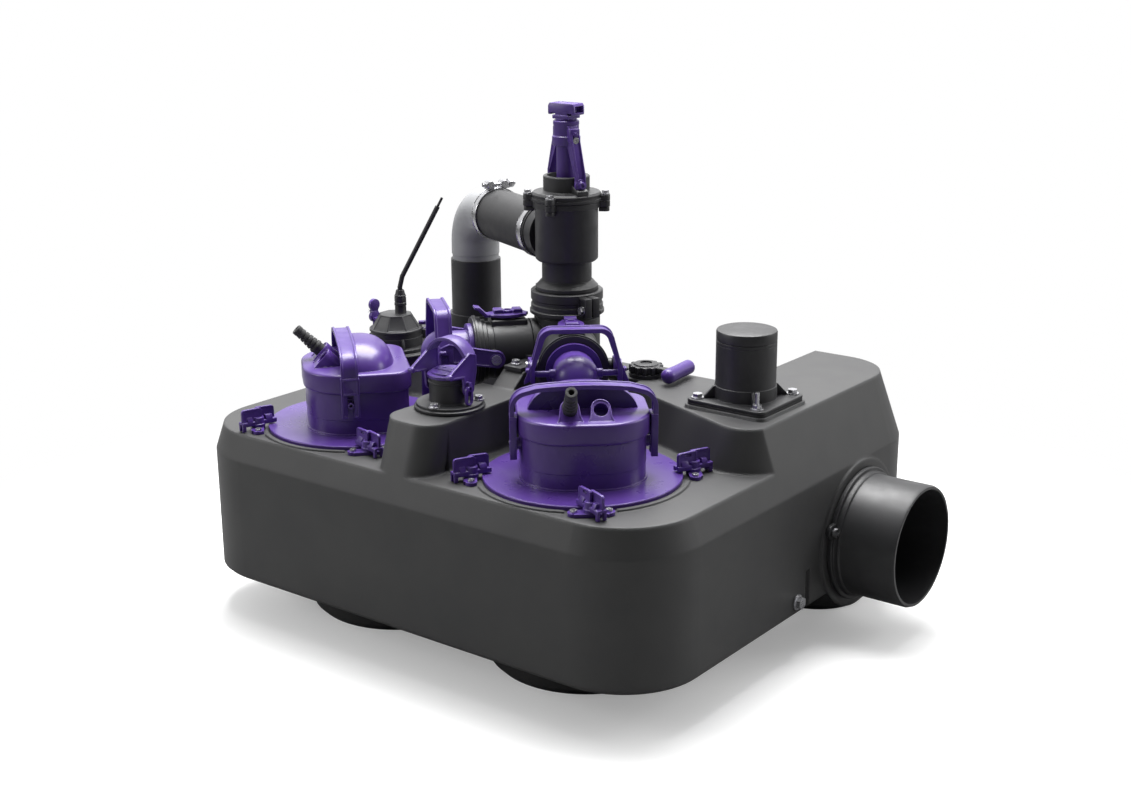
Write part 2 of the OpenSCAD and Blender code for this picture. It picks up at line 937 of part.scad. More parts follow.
module rotor(s) {
  color(steel)
    at_pump(s) {
      translate([0, 0, pump_deck_z - 62])
        cylinder(h = 124, r = shaft_r);
      translate([0, 0, pump_deck_z - 14])
        cylinder(h = 58, r = rotor_r);
      // Impeller disc, vanes and hub
      translate([0, 0, pump_deck_z - 64])
        cylinder(h = 4, r = impeller_r);
      translate([0, 0, pump_deck_z - 90])
        cylinder(h = 30, r = 14);
      for (a = [0, 180])
        rotate([0, 0, a])
          intersection() {
            translate([24, 0, pump_deck_z - 86])
              difference() {
                cylinder(h = 24, r = 24);
                translate([0, 0, -1])
                  cylinder(h = 30, r = 19);
                translate([-30, -60, -1])
                  cube([60, 60, 40]);
              }
            translate([0, 0, pump_deck_z - 90])
              cylinder(h = 40, r = impeller_r);
          }
    }
}

module volutes() {
  color(black)
    for (s = [-1, 1])
      at_pump(s)
        difference() {
          union() {
            translate([0, 0, pump_deck_z - 98])
              cylinder(h = 52 - gap, r = 66);
            // Discharge neck up to the flange lobe
            translate([50, -24, pump_deck_z - 98])
              cube([dome_t - 50, 48, 46]);
            translate([dome_t, 0, pump_deck_z - 98])
              cylinder(h = 98 - gap, r = neck_r);
          }
          translate([0, 0, pump_deck_z - 90])
            cylinder(h = 50, r = 54);
          translate([0, 0, pump_deck_z - 110])
            cylinder(h = 30, r = 26);
          translate([40, -14, pump_deck_z - 88])
            cube([dome_t - 40, 28, 26]);
          translate([dome_t, 0, pump_deck_z - 88])
            cylinder(h = 100, r = 18);
        }
}

module latch_bases() {
  color(purple)
    for (s = [-1, 1])
      at_pump(s)
        for (a = [90, 180, 270])
          rotate([0, 0, a])
            translate([latch_r, 0, pump_deck_z + gap])
              difference() {
                union() {
                  translate([-7, -20, 0])
                    cube([16, 40, base_h]);
                  for (y = [-20, 20])
                    translate([0, y, 0])
                      cylinder(h = base_h, r = 7);
                  cylinder(h = base_h + 1, r = 9);
                  cylinder(h = 14, r = latch_pin_r);
                }
                translate([-latch_r, 0, -1])
                  cylinder(h = 20, r = pump_flange_r + gap);
                for (y = [-20, 20])
                  translate([0, y, -1])
                    cylinder(h = 20, r = m6 + 0.2);
              }
}

// One wing latch, drawn at its pivot with -X towards the pump
module latch_body() {
  z0 = pump_deck_z + gap + base_h + 1 + seat;
  difference() {
    union() {
      translate([-latch_l / 2, -6, z0 + 1.5])
        cube([latch_l, 12, bar_h]);
      // Foot over the flange edge
      translate([-latch_l / 2, -6, bar_z])
        cube([10, 12, bar_h]);
      translate([0, 0, z0])
        cylinder(h = 12, r = 8);
      // Upright wing with bevelled corners
      translate([0, 3, 0])
        rotate([90, 0, 0])
          linear_extrude(6)
            polygon([[-24, z0 + 5], [-24, z0 + bar_h + wing_h - 4],
              [-21, z0 + bar_h + wing_h - 1], [-6, z0 + bar_h + wing_h + 1],
              [21, z0 + bar_h + wing_h + 1], [24, z0 + bar_h + wing_h - 2],
              [24, z0 + 5]]);
      // Lower ridge of the wing
      translate([-latch_l / 2, -4.5, z0 + bar_h + 1])
        cube([latch_l, 9, 5]);
    }
    translate([0, 0, z0 - 1])
      cylinder(h = 14, r = latch_pin_r + latch_gap);
    // Finger hollows in the wing
    for (y = [-1, 1], x = [-19, 7])
      translate([x, y > 0 ? 1.6 : -4.6, z0 + bar_h + 8])
        cube([12, 3, wing_h - 10]);
  }
}

module latch(s, a) {
  color(purple)
    at_pump(s)
      rotate([0, 0, a])
        translate([latch_r, 0, 0])
          rotate([0, 0, latch_turn])
            latch_body();
}

module elbow(s) {
  color(purple)
    at_pump(s)
      difference() {
        union() {
          translate([dome_t, 0, flange_top])
            cylinder(h = line_z - flange_top, r = dome_r);
          translate([dome_t, 0, line_z])
            sphere(dome_r);
          translate([dome_t, 0, line_z])
            bar_x(dome_r - 2, face_t - dome_t - 0.2);
          translate([face_t - 6.2, 0, line_z])
            bar_x(ring_r, 6);
          translate([dome_t, 0, flange_top])
            cylinder(h = 4, r = lobe_r - 1);
          // Trunnion rods
          translate([arch_t, 4 - arm_half, rod_z])
            bar_y(rod_r, 2 * arm_half - 8);
          for (y = [-1, 1])
            translate([arch_t, y > 0 ? 26 : -33, rod_z])
              bar_y(rod_r + 2, 7);
        }
        translate([dome_t, 0, flange_top - 1])
          cylinder(h = line_z - flange_top + 1, r = line_bore_r);
        translate([dome_t, 0, line_z])
          sphere(line_bore_r);
        translate([dome_t, 0, line_z])
          bar_x(line_bore_r, 60);
        // Groove of the coupling ring seal
        translate([face_t - 2, 0, line_z])
          rotate([0, 90, 0])
            flat_ring(29.6, 26.4, 3);
      }
}

// Trapezoid arch outline in Y and Z
module arch_outline(d) {
  w0 = arm_half - d;
  w1 = 30 - d;
  r = 18;
  zt = arch_top - d;
  polygon([[-w0, arch_foot], [w0, arch_foot], [w0, arch_foot + 18], [w1 + r, zt - r], [w1, zt],
    [-w1, zt], [-w1 - r, zt - r], [-w0, arch_foot + 18]]);
  for (y = [-1, 1])
    translate([y * w1, zt - r])
      circle(r);
}

module lever(s) {
  color(purple)
    at_pump(s)
      difference() {
        union() {
          // Web and two rims of the arch
          translate([arch_t - arch_b / 2 + 3, 0, 0])
            rotate([90, 0, 90])
              linear_extrude(arch_b - 6)
                difference() {
                  arch_outline(1.5);
                  translate([0, -1.5])
                    arch_outline(4);
                }
          for (x = [-arch_b / 2, arch_b / 2 - 3.5])
            translate([arch_t + x, 0, 0])
              rotate([90, 0, 90])
                linear_extrude(3.5)
                  difference() {
                    arch_outline(0);
                    translate([0, -1.5])
                      arch_outline(5.5);
                  }
          // Finger ears at both feet
          for (y = [-1, 1])
            translate([arch_t - arch_b / 2, y > 0 ? arm_half - 4 : -arm_half - 6, arch_foot + 12])
              cube([10, 10, 5]);
          // Side arms to the pivots
          for (y = [-1, 1])
            translate([0, y > 0 ? arm_half - 5 : -arm_half, 0]) {
              rotate([-90, 0, 0])
                linear_extrude(5)
                  polygon([[arch_t - 3, -arch_foot - 8], [pivot_t - 2, -line_z + 11],
                    [pivot_t + 5, -line_z - 10],
                    [arch_t + 6, -arch_foot - 26]]);
              translate([pivot_t, 0, line_z])
                bar_y(12, 5);
            }
        }
        // Pivot bores
        translate([pivot_t, -arm_half - 5, line_z])
          bar_y(lever_pin_r + lever_gap, 2 * arm_half + 10);
        // Open hooks over the trunnion rods
        translate([arch_t - rod_r - 1, -arm_half - 5, arch_foot - 5])
          cube([2 * rod_r + 2, 2 * arm_half + 10, rod_z - arch_foot + 5]);
        translate([arch_t, -arm_half - 5, rod_z])
          bar_y(rod_r + 1, 2 * arm_half + 10);
      }
}

module check(s) {
  color(black)
    at_pump(s)
      difference() {
        union() {
          translate([face_t + 2.4, 0, line_z])
            bar_x(46, 4);
          translate([face_t + 0.1, 0, line_z])
            bar_x(ring_r, 12);
          translate([face_t + 10, 0, line_z])
            bar_x(check_r + 1.5, 8);
          translate([face_t + 17, 0, line_z])
            bar_x(check_r - 1, 10);
          translate([face_t + 20, 0, line_z])
            bar_x(check_r, check_end - face_t - 20);
          // Trunnions of the lever
          translate([pivot_t, -arm_half + 5 + gap, line_z])
            bar_y(9, 2 * arm_half - 10 - 2 * gap);
          translate([pivot_t, -arm_half, line_z])
            bar_y(lever_pin_r, 2 * arm_half);
          // Bonnet and knob seat
          translate([knob_t - 24, -17, line_z + 28])
            cube([48, 34, 14.5]);
          translate([knob_t, 0, line_z + 28])
            cylinder(h = 17, r = 15);
        }
        translate([face_t - 1, 0, line_z])
          bar_x(line_bore_r, 20);
        translate([face_t + 10, 0, line_z])
          bar_x(check_r - 6, 80);
        // Spindle way of the knob
        translate([knob_t, 0, line_z + 20])
          cylinder(h = 40, r = 4.05);
        // Bore of the flap pivot
        translate([flap_t, -28, flap_z])
          bar_y(flap_pin_r + 0.05, 56);
        // Screw holes in the trunnions
        for (y = [-1, 1])
          translate([pivot_t, y * (arm_half + 1), line_z])
            rotate([y * 90, 0, 0])
              cylinder(h = 13, r = 2.55);
      }
}

module flap(s) {
  color(rubber)
    at_pump(s)
      difference() {
        union() {
          translate([flap_t, -27.6, flap_z])
            bar_y(flap_pin_r, 55.2);
          translate([face_t + 14, 0, line_z - 1])
            bar_x(25, 6);
          translate([face_t + 15, -8, line_z + 14])
            cube([flap_t - face_t - 15, 16, 8]);
          translate([flap_t, -8, flap_z])
            bar_y(6, 16);
        }
        translate([face_t + 10, -40, line_z + 26])
          cube([14, 80, 30]);
      }
}

module knob(s) {
  z0 = line_z + 45 + seat;
  color(purple)
    at_pump(s)
      translate([knob_t, 0, z0])
        difference() {
          union() {
            translate([0, 0, -14])
              cylinder(h = 16, r = 4);
            // Oval plate
            intersection() {
              translate([0, -14, 0])
                cylinder(h = 4, r = 31);
              translate([0, 14, 0])
                cylinder(h = 4, r = 31);
            }
            translate([-24, -11, 0])
              cube([48, 22, 4]);
            // Bent pointer
            translate([0, 9, 0])
              rotate([90, 0, 0])
                linear_extrude(18)
                  polygon([[-22, 0], [-22, 4], [-27, 4], [-38, 15], [-45, 15],
                    [-45, 11], [-40, 9], [-31, 0]]);
            // Grip ribs
            for (x = [-14, 10])
              translate([x - 5, -8, 3])
                cube([14, 16, 7]);
            cylinder(h = 8, r = 7);
          }
          translate([0, 0, -20])
            cylinder(h = 40, r = 1.95);
          translate([0, 0, 6.5])
            cylinder(h = 10, r = 4.2);
        }
}

module pivot_screws() {
  color(zinc) {
    for (s = [-1, 1])
      at_pump(s) {
        for (y = [-1, 1])
          translate([pivot_t, y * (arm_half + seat), line_z])
            rotate([y * -90, 0, 0])
              pan_screw(2.5, 11, 6.5, 2.6);
      }
    translate([0, valve_y, 0])
      for (a = [outlet_a, outlet_a + 180])
        rotate([0, 0, a]) {
          translate([38 + seat, 0, 566])
            rotate([0, 90, 0])
              pan_screw(2.5, 9, 4.6, 2.6);
          translate([25 + seat, 0, yoke_z + 8])
            rotate([0, 90, 0])
              pan_screw(2.5, 6, 4.2, 1.4);
        }
  }
}

module collector() {
  arm = collector_t - check_end - gap;
  color(black)
    difference() {
      union() {
        translate([0, valve_y, recess_z + gap])
          cylinder(h = collector_top - recess_z - gap, r = 44);
        translate([0, valve_y, collector_top - 6])
          cylinder(h = collar_z + 8 - collector_top + 6, r = 40);
        for (a = [-90 + line_a, -90 - line_a])
          translate([0, valve_y, line_z])
            rotate([0, 0, a])
              bar_x(check_r, arm);
        // Foot flange on the recess floor
        translate([0, valve_y, recess_z + gap])
          cylinder(h = 6, r = 58);
        // Bridge plate between the two lines
        translate([-14, -102, line_z - 10])
          cube([28, 62, 5]);
        translate([-12, -60, line_z - 20])
          cube([24, 40, 20]);
      }
      translate([0, valve_y, recess_z + 10])
        cylinder(h = 200, r = 27);
      for (a = [-90 + line_a, -90 - line_a])
        translate([0, valve_y, line_z])
          rotate([0, 0, a])
            bar_x(line_bore_r, 100);
      // Room for the ends of the non-return valves
      for (a = [-90 + line_a, -90 - line_a])
        translate([0, valve_y, line_z])
          rotate([0, 0, a])
            translate([arm, 0, 0])
              bar_x(check_r + gap, 60);
      translate([-5, -88, line_z - 20])
        cylinder(h = 40, r = bolt_r + 0.3);
    }
}

module collar() {
  color(black)
    translate([0, valve_y, collar_z + gap])
      difference() {
        union() {
          cylinder(h = collar_top - collar_z - 2 * gap, r = collar_r);
          cylinder(h = 4, r = collar_r + 1.5);
          // Ears of the split clamp
          for (a = [-20, 160])
            rotate([0, 0, a]) {
              translate([36, -11, 0])
                cube([26, 22, 26]);
              translate([54, -7, 26 - 1])
                cube([8, 14, 4]);
            }
        }
        translate([0, 0, -1])
          cylinder(h = 60, r = 40.1);
        for (a = [-20, 160])
          rotate([0, 0, a]) {
            translate([39, -0.75, -1])
              cube([30, 1.5, 60]);
            translate([55, 12, 12])
              rotate([90, 0, 0])
                cylinder(h = 24, r = 3);
          }
      }
}

module valve_body() {
  color(black)
    translate([0, valve_y, 0])
      difference() {
        union() {
          // Tail inside the clamp
          translate([0, 0, collector_top + 13.5])
            cylinder(h = neck_z - collector_top - 13.5, r = 40);
          translate([0, 0, collar_top - gap + 0.5])
            cylinder(h = 6, r = 41.5);
          translate([0, 0, neck_z - 6])
            cylinder(h = 6, r1 = 40, r2 = 35);
          translate([0, 0, neck_z - 2])
            cylinder(h = body_z - neck_z + 4, r = 33);
          translate([0, 0, body_z])
            cylinder(h = 3, r1 = body_r - 3, r2 = body_r);
          translate([0, 0, body_z + 3])
            cylinder(h = body_top - body_z - 3 - seat, r = body_r);
          translate([0, 0, body_top - 8])
            cylinder(h = 8 - seat, r = body_r + 3);
          for (a = lug_a)
            rotate([0, 0, a]) {
              translate([36, -5, body_top - 14])
                cube([15, 10, 14 - seat]);
              translate([51, 0, body_top - 14])
                cylinder(h = 14 - seat, r = 5.5);
            }
          // Outlet stub
          translate([0, 0, outlet_z])
            rotate([0, 0, outlet_a])
              bar_x(spigot_r, 92);
          translate([0, 0, outlet_z])
            rotate([0, 0, outlet_a])
              bar_x(spigot_r + 3, 56);
        }
        translate([0, 0, collector_top])
          cylinder(h = body_z - collector_top + 6, r = 24);
        translate([0, 0, body_z + 4])
          cylinder(h = body_top - body_z, r = body_r - 6);
        translate([0, 0, outlet_z])
          rotate([0, 0, outlet_a])
            bar_x(spigot_r - 4, 120);
        for (a = lug_a)
          rotate([0, 0, a])
            translate([51, 0, body_top - 30])
              cylinder(h = 40, r = m6);
        // Groove of the cover ring
        translate([0, 0, body_top - 3])
          flat_ring(38.7, 35, 4);
      }
}

module valve_cover() {
  color(black)
    translate([0, valve_y, 0])
      difference() {
        union() {
          translate([0, 0, body_top])
            cylinder(h = cover_top - body_top - 3, r = body_r + 4.5);
          translate([0, 0, cover_top - 3])
            cylinder(h = 3, r1 = body_r + 4.5, r2 = body_r + 2);
          for (a = lug_a)
            rotate([0, 0, a]) {
              translate([36, -6, body_top])
                cube([15, 12, 8]);
              translate([51, 0, body_top])
                cylinder(h = 8, r = 6);
            }
          translate([0, 0, cover_top - 1])
            cylinder(h = neck_top - cover_top + 1, r = 30.5);
          // Pads and ribs for the yoke
          for (a = [outlet_a, outlet_a + 180])
            rotate([0, 0, a]) {
              translate([20, -8, cover_top - 1])
                cube([14, 16, neck_top - cover_top + 1]);
              translate([20, 9.5, cover_top - 1])
                cube([16, 4, neck_top - cover_top + 3]);
            }
        }
        translate([0, 0, body_top - 1])
          cylinder(h = 60, r = spindle_r + spindle_gap);
        translate([0, 0, neck_top - 6])
          cylinder(h = 20, r = 25);
        for (a = lug_a)
          rotate([0, 0, a])
            translate([51, 0, body_top - 1]) {
              cylinder(h = 40, r = m6 + 0.2);
              translate([0, 0, 9])
                cylinder(h = 20, r = 6.2);
            }
        for (a = [outlet_a, outlet_a + 180])
          rotate([0, 0, a])
            translate([26, 0, 566])
              bar_x(2.55, 20);
      }
}

module cover_bolts() {
  color(zinc) {
    translate([0, valve_y, 0])
      for (a = lug_a)
        rotate([0, 0, a])
          translate([51, 0, body_top + 8 + seat])
            hex_bolt(m6 - 0.1, 16, 8, 4);
    // Bolts of the split clamp
    translate([0, valve_y, collar_z + gap + 12])
      for (a = [-20, 160])
        rotate([0, 0, a])
          translate([55, -11 - seat, 0])
            rotate([90, 0, 0])
              hex_bolt(m6 - 0.1, 23, 8, 4);
  }
}

module yoke() {
  color(purple)
    translate([0, valve_y, 0])
      difference() {
        union() {
          translate([0, 0, yoke_z])
            cylinder(h = yoke_top - yoke_z - 4, r = 17);
          translate([0, 0, yoke_top - 4])
            cylinder(h = 4, r1 = 17, r2 = 14.5);
          translate([0, 0, yoke_z])
            cylinder(h = 12, r = 18);
          for (a = [outlet_a, outlet_a + 180])
            rotate([0, 0, a]) {
              translate([10, -8, yoke_z])
                cube([15, 16, 16]);
              // Leaning arm with two ribs
              translate([0, 7, 0])
                rotate([90, 0, 0])
                  linear_extrude(14)
                    polygon([[17, yoke_z + 2], [21, yoke_z + 2], [38, 578],
                      [38, 560], [34 + gap, 560], [34 + gap, 577]]);
              for (y = [-7, 4.5])
                translate([0, y + 2.5, 0])
                  rotate([90, 0, 0])
                    linear_extrude(2.5)
                      polygon([[17, yoke_z + 2], [24, yoke_z + 2],
                        [40, 578], [34 + gap, 577]]);
              translate([34 + gap, 0, 566])
                bar_x(8, 3.7);
            }
        }
        translate([0, 0, yoke_z - 1])
          cylinder(h = 60, r = spindle_r + spindle_gap);
        for (a = [outlet_a, outlet_a + 180])
          rotate([0, 0, a]) {
            translate([30, 0, 566])
              bar_x(2.7, 20);
            translate([18, 0, yoke_z + 8])
              bar_x(2.55, 20);
          }
      }
}

module spindle() {
  color(purple)
    translate([0, valve_y, 0])
      difference() {
        union() {
          translate([0, 0, body_z + 24])
            cylinder(h = grip_z - body_z - 20, r = spindle_r);
          translate([0, 0, yoke_top + gap])
            cylinder(h = 4, r = 14);
          translate([-13, -13, yoke_top + 2])
            cube([26, 26, 5]);
          // T grip, a hollow box with a slot along its underside
          translate([-21, -11, grip_z])
            cube([42, 22, grip_top - grip_z]);
        }
        for (x = [-22, 13.5])
          translate([x, -8, grip_z + 3])
            cube([8.5, 16, grip_top - grip_z - 6]);
        translate([0, 0, body_z + 20])
          cylinder(h = 20, r = 4.1);
      }
}

module plug() {
  color(rubber)
    translate([0, valve_y, 0]) {
      translate([0, 0, body_z + 4 + gap])
        cylinder(h = 6, r = 30);
      translate([0, 0, body_z + 10])
        cylinder(h = 14 - seat, r = 18);
      translate([0, 0, body_z + 20])
        cylinder(h = 18, r = 4);
    }
}

module hose() {
  color(rubber)
    translate([0, valve_y, outlet_z])
      rotate([0, 0, outlet_a])
        translate([57, 0, 0])
          difference() {
            union() {
              bar_x(hose_r, hose_end - 57);
              bar_x(hose_r + 0.8, 3);
            }
            translate([-1, 0, 0])
              bar_x(spigot_r + 0.05, loop_l);
          }
}

module hose_clamps() {
  color(steel)
    translate([0, valve_y, outlet_z])
      rotate([0, 0, outlet_a])
        for (x = [61, hose_end - 15])
          translate([x, 0, 0]) {
            difference() {
              bar_x(hose_r + 1.5, 12);
              translate([-1, 0, 0])
                bar_x(hose_r + 0.35, 14);
            }
            // Barrels, T bolt and nut above the band
            for (y = [-10, 12]) {
              translate([-1, y, hose_r + 6])
                bar_x(5.5, 14);
              translate([0, y - 1, hose_r - 0.4])
                cube([12, 2, 6]);
            }
            translate([6, -24, hose_r + 6])
              bar_y(2.5, 42);
            translate([6, -22, hose_r + 6])
              rotate([-90, 0, 0])
                linear_extrude(6)
                  circle(5.5, $fn = 6);
            translate([0, 18, hose_r + 4])
              cube([12, 3, 4]);
          }
}

module grey_elbow() {
  bore = spigot_r - 4;
  run = loop_l - hose_end - bend_c - gap;
  color(grey)
    translate([loop_l * cos(outlet_a), valve_y + loop_l * sin(outlet_a), 0])
      rotate([0, 0, outlet_a + 180]) {
        // Bend from the horizontal hose down to the riser
        translate([bend_c, 0, outlet_z - bend_c])
          rotate([90, 0, 0])
            rotate([0, 0, 90])
              rotate_extrude(angle = 90)
                translate([bend_c, 0])
                  difference() {
                    circle(bend_r);
                    circle(bore);
                  }
        // Straight end into the hose
        translate([bend_c, 0, outlet_z])
          rotate([0, 90, 0])
            rotate_extrude()
              polygon([[bore, 0], [bend_r, 0], [bend_r, run], [spigot_r, run],
                [spigot_r, run + 30], [bore, run + 30]]);
        // Straight end into the riser
        translate([0, 0, riser_top - 36])
          rotate_extrude()
            polygon([[bore, 0], [spigot_r + 1, 0], [spigot_r + 1, 44], [bend_r, 44],
              [bend_r, outlet_z - bend_c - riser_top + 36],
              [bore, outlet_z - bend_c - riser_top + 36]]);
      }
}

module riser() {
  color(black)
    translate([loop_l * cos(outlet_a), valve_y + loop_l * sin(outlet_a), 0])
      difference() {
        union() {
          translate([0, 0, deck_z + gap])
            cylinder(h = riser_top - deck_z - gap, r = riser_r);
          translate([0, 0, deck_z + gap])
            cylinder(h = 26, r = riser_r + 4);
        }
        translate([0, 0, riser_top - 38])
          cylinder(h = 60, r = spigot_r + 1.05);
        translate([0, 0, deck_z - 1])
          cylinder(h = 120, r = spigot_r - 4);
      }
}

module sensor_base() {
  color(black)
    translate([-sensor_x, -sensor_y, 0])
      difference() {
        union() {
          translate([0, 0, sensor_z])
            cylinder(h = 5, r = 46);
          for (b = sensor_bolts)
            translate([b[0], b[1], sensor_z])
              cylinder(h = 5, r = 9);
          translate([0, 0, sensor_z])
            cylinder(h = 25, r = sensor_r - 1.5);
          translate([0, 0, sensor_z + 8])
            cylinder(h = 10, r = sensor_r);
          // Lugs and pins of the wing latches
          for (a = wing_a)
            rotate([0, 0, a]) {
              for (y = [-9, 5])
                translate([30, y, sensor_z + 12])
                  cube([18, 4, 14]);
              translate([43, -8, sensor_z + 20])
                bar_y(wing_pin_r, 16);
            }
          // Sensing tube into the tank
          translate([0, 0, 110])
            cylinder(h = sensor_z - 110, r = 20);
        }
        translate([0, 0, 109])
          cylinder(h = sensor_z - 109 + 20, r = 16);
        translate([0, 0, sensor_z + 8])
          cylinder(h = 30, r = sensor_r - 8);
        // Seat of the cover
        translate([0, 0, sensor_z + 25])
          cylinder(h = 10, r = sensor_r + gap);
        for (b = sensor_bolts)
          translate([b[0], b[1], sensor_z - 1])
            cylinder(h = 20, r = bolt_r + 0.3);
      }
}

module sensor_cover() {
  color(black)
    translate([-sensor_x, -sensor_y, sensor_z + 25 + seat])
      difference() {
        union() {
          cylinder(h = 4, r = sensor_r);
          translate([0, 0, 4])
            rotate([0, 0, 22.5])
              cylinder(h = 20, r1 = sensor_r - 2, r2 = 23, $fn = 8);
          translate([6.5, 4, 10])
            cylinder(h = 26, r = 7.5);
          for (a = wing_a)
            rotate([0, 0, a])
              translate([28, -4, 0])
                cube([12, 8, 5]);
        }
        translate([6.5, 4, -1])
          cylinder(h = 40, r = 4.6);
      }
}

module sensor_gland() {
  z0 = gland_z;
  color(rubber)
    translate([6.5 - sensor_x, 4 - sensor_y, z0])
      difference() {
        union() {
          translate([0, 0, -12])
            cylinder(h = 14, r = 4.5);
          translate([0, 0, seat])
            cylinder(h = 4, r = 8.5);
          translate([0, 0, 4])
            linear_extrude(9)
              circle(8.6, $fn = 6);
          translate([0, 0, 13])
            cylinder(h = 9, r1 = 8, r2 = 5);
        }
        translate([0, 0, -13])
          cylinder(h = 40, r = 3.45);
      }
}

module sensor_lead() {
  color(rubber)
    translate([6.5 - sensor_x, 4 - sensor_y, gland_z])
      rotate([0, 0, lead_a]) {
        translate([0, 0, -12])
          cylinder(h = 38, r = 3.4);
        translate([0, 0, 26]) {
          sphere(3.5);
          rotate([0, 14, 0]) {
            cylinder(h = 16, r = 3.4);
            translate([0, 0, 16])
              sphere(3.5);
            translate([0, 0, 16])
              rotate([0, 14, 0]) {
                cylinder(h = 112, r = 3.4);
                cylinder(h = 126, r = 1.8);
              }
          }
        }
      }
}

module sensor_wing(a) {
  color(purple)
    translate([-sensor_x, -sensor_y, sensor_z])
      rotate([0, 0, a])
        difference() {
          union() {
            translate([43, -4.7, 20])
              bar_y(5, 9.4);
            translate([42, -4.7, 20])
              cube([6, 9.4, 14]);
            // Hook over the cover lug
            translate([33, -4, 25 + seat + 5 + gap])
              cube([15, 8, 5]);
            // Two-lobed wing
            translate([46, -5, 26])
              cube([5, 10, 30]);
            for (z = [36, 53])
              translate([46, 0, z])
                bar_x(8, 5);
          }
          translate([43, -10, 20])
            bar_y(wing_pin_r + wing_gap, 20);
        }
}

module port_body() {
  color(black)
    translate([0, -port_y, port_z + gap])
      difference() {
        union() {
          cylinder(h = port_flange_t, r = 44);
          translate([0, 0, port_flange_t - 0.5])
            cylinder(h = 4.5, r = 41.5);
          cylinder(h = port_lid_z - port_z - gap, r = port_r);
          translate([0, 0, 32])
            cylinder(h = 2, r = port_r + 1);
          // Pivots of the bail
          translate([-34, 0, bail_z - port_z - gap])
            bar_x(bail_pin_r, 68);
          translate([-28.5, 0, bail_z - port_z - gap])
            bar_x(bail_pin_r + 2, 57);
        }
        translate([0, 0, -1])
          cylinder(h = 60, r = port_r - 4);
        for (b = port_bolts)
          translate([b[0], b[1], -1])
            cylinder(h = 20, r = bolt_r + 0.3);
        for (b = port_bolts)
          translate([b[0], b[1], port_flange_t + 4])
            cylinder(h = 4, r = 7.4);
      }
}

module port_lid() {
  color(purple)
    translate([0, -port_y, port_lid_z + seat])
      difference() {
        union() {
          cylinder(h = 5, r = port_r + 2);
          cylinder(h = 8, r = port_r - 3);
          translate([-18, -9, 7])
            cube([36, 18, 2]);
        }
        translate([0, 0, -1])
          cylinder(h = 4, r = port_r - 4);
        for (x = [-8, 8])
          translate([x, 0, 6])
            cylinder(h = 6, r = 1.5);
      }
}

module port_lever() {
  color(purple)
    translate([0, -port_y, 0])
      difference() {
        union() {
          // Side cheeks with their pivot eyes
          for (x = [-33, 29])
            translate([x, 0, 0])
              rotate([90, 0, 90])
                linear_extrude(4)
                  union() {
                    translate([0, bail_z])
                      circle(9);
                    polygon([[-36, bail_z + 19], [-34, bail_z + 24], [2, bail_z + 45],
                      [14, bail_z + 41], [14, bail_z + 20], [8.5, bail_z], [-8.5, bail_z],
                      [-9, bail_z + 16]]);
                  }
          // Arch that joins the cheeks
          translate([0, 14, 0])
            rotate([90, 0, 0])
              linear_extrude(12)
                difference() {
                  translate([0, bail_z + 25])
                    circle(36);
                  translate([0, bail_z + 25])
                    circle(32);
                  translate([-40, bail_z - 20])
                    square([80, 57]);
                }
          // Rounded finger ends
          for (x = [-35, 27])
            translate([x, 0, bail_z])
              translate([0, -35, 21.5])
                bar_x(2.8, 8);
        }
        translate([-40, 0, bail_z])
          bar_x(bail_pin_r + lever_gap, 80);
      }
}

module drain_hub() {
  color(black)
    translate([drain_x, drain_y, deck_z + gap]) {
      cylinder(h = 5, r = 23);
      cylinder(h = 16, r = 8);
      translate([0, 0, -9])
        cylinder(h = 10, r = 8);
    }
}

module drain_lever() {
  color(purple)
    translate([drain_x, drain_y, deck_z + gap])
      difference() {
        union() {
          translate([0, 0, 5 + seat])
            cylinder(h = 10, r = 20.5);
          for (a = [0 : 30 : 330])
            rotate([0, 0, a])
              translate([18, -2.5, 5 + seat])
                cube([5, 5, 10]);
          translate([10, -7, 8])
            cube([38, 14, 7]);
          // Grip with round ends
          translate([51, -22, 12])
            rotate([0, 0, 5]) {
              bar_y(10, 48);
              sphere(10);
              translate([0, 48, 0])
                sphere(10);
            }
        }
        translate([0, 0, 4])
          cylinder(h = 30, r = 8.06);
      }
}

tank();
anchor_bolts();
inlet_pipe();
seals();
vent_socket();
vent_cap();
flange_bolts();
small_screws();
housing(-1);  // housing_l
housing(1);  // housing_r
cap(-1);  // cap_l
cap(1);  // cap_r
handle(-1);  // handle_l
handle(1);  // handle_r
bend_sleeves();
stators();
rotor(-1);  // rotor_l
rotor(1);  // rotor_r
volutes();
latch_bases();
latch(-1, 90);  // latch_1
latch(-1, 180);  // latch_2
latch(-1, 270);  // latch_3
latch(1, 90);  // latch_4
latch(1, 180);  // latch_5
latch(1, 270);  // latch_6
elbow(-1);  // elbow_l
elbow(1);  // elbow_r
lever(-1);  // lever_l
lever(1);  // lever_r
check(-1);  // check_l
check(1);  // check_r
flap(-1);  // flap_l
flap(1);  // flap_r
knob(-1);  // knob_l
knob(1);  // knob_r
pivot_screws();
collector();
collar();
valve_body();
valve_cover();
cover_bolts();
yoke();
spindle();
plug();
hose();
hose_clamps();
grey_elbow();
riser();
sensor_base();
sensor_cover();
sensor_gland();
sensor_lead();
sensor_wing(wing_a[0]);  // sensor_wing_l
sensor_wing(wing_a[1]);  // sensor_wing_r
port_body();
port_lid();
port_lever();
drain_hub();
drain_lever();
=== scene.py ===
import bpy
import json
import math
from mathutils import Matrix, Vector


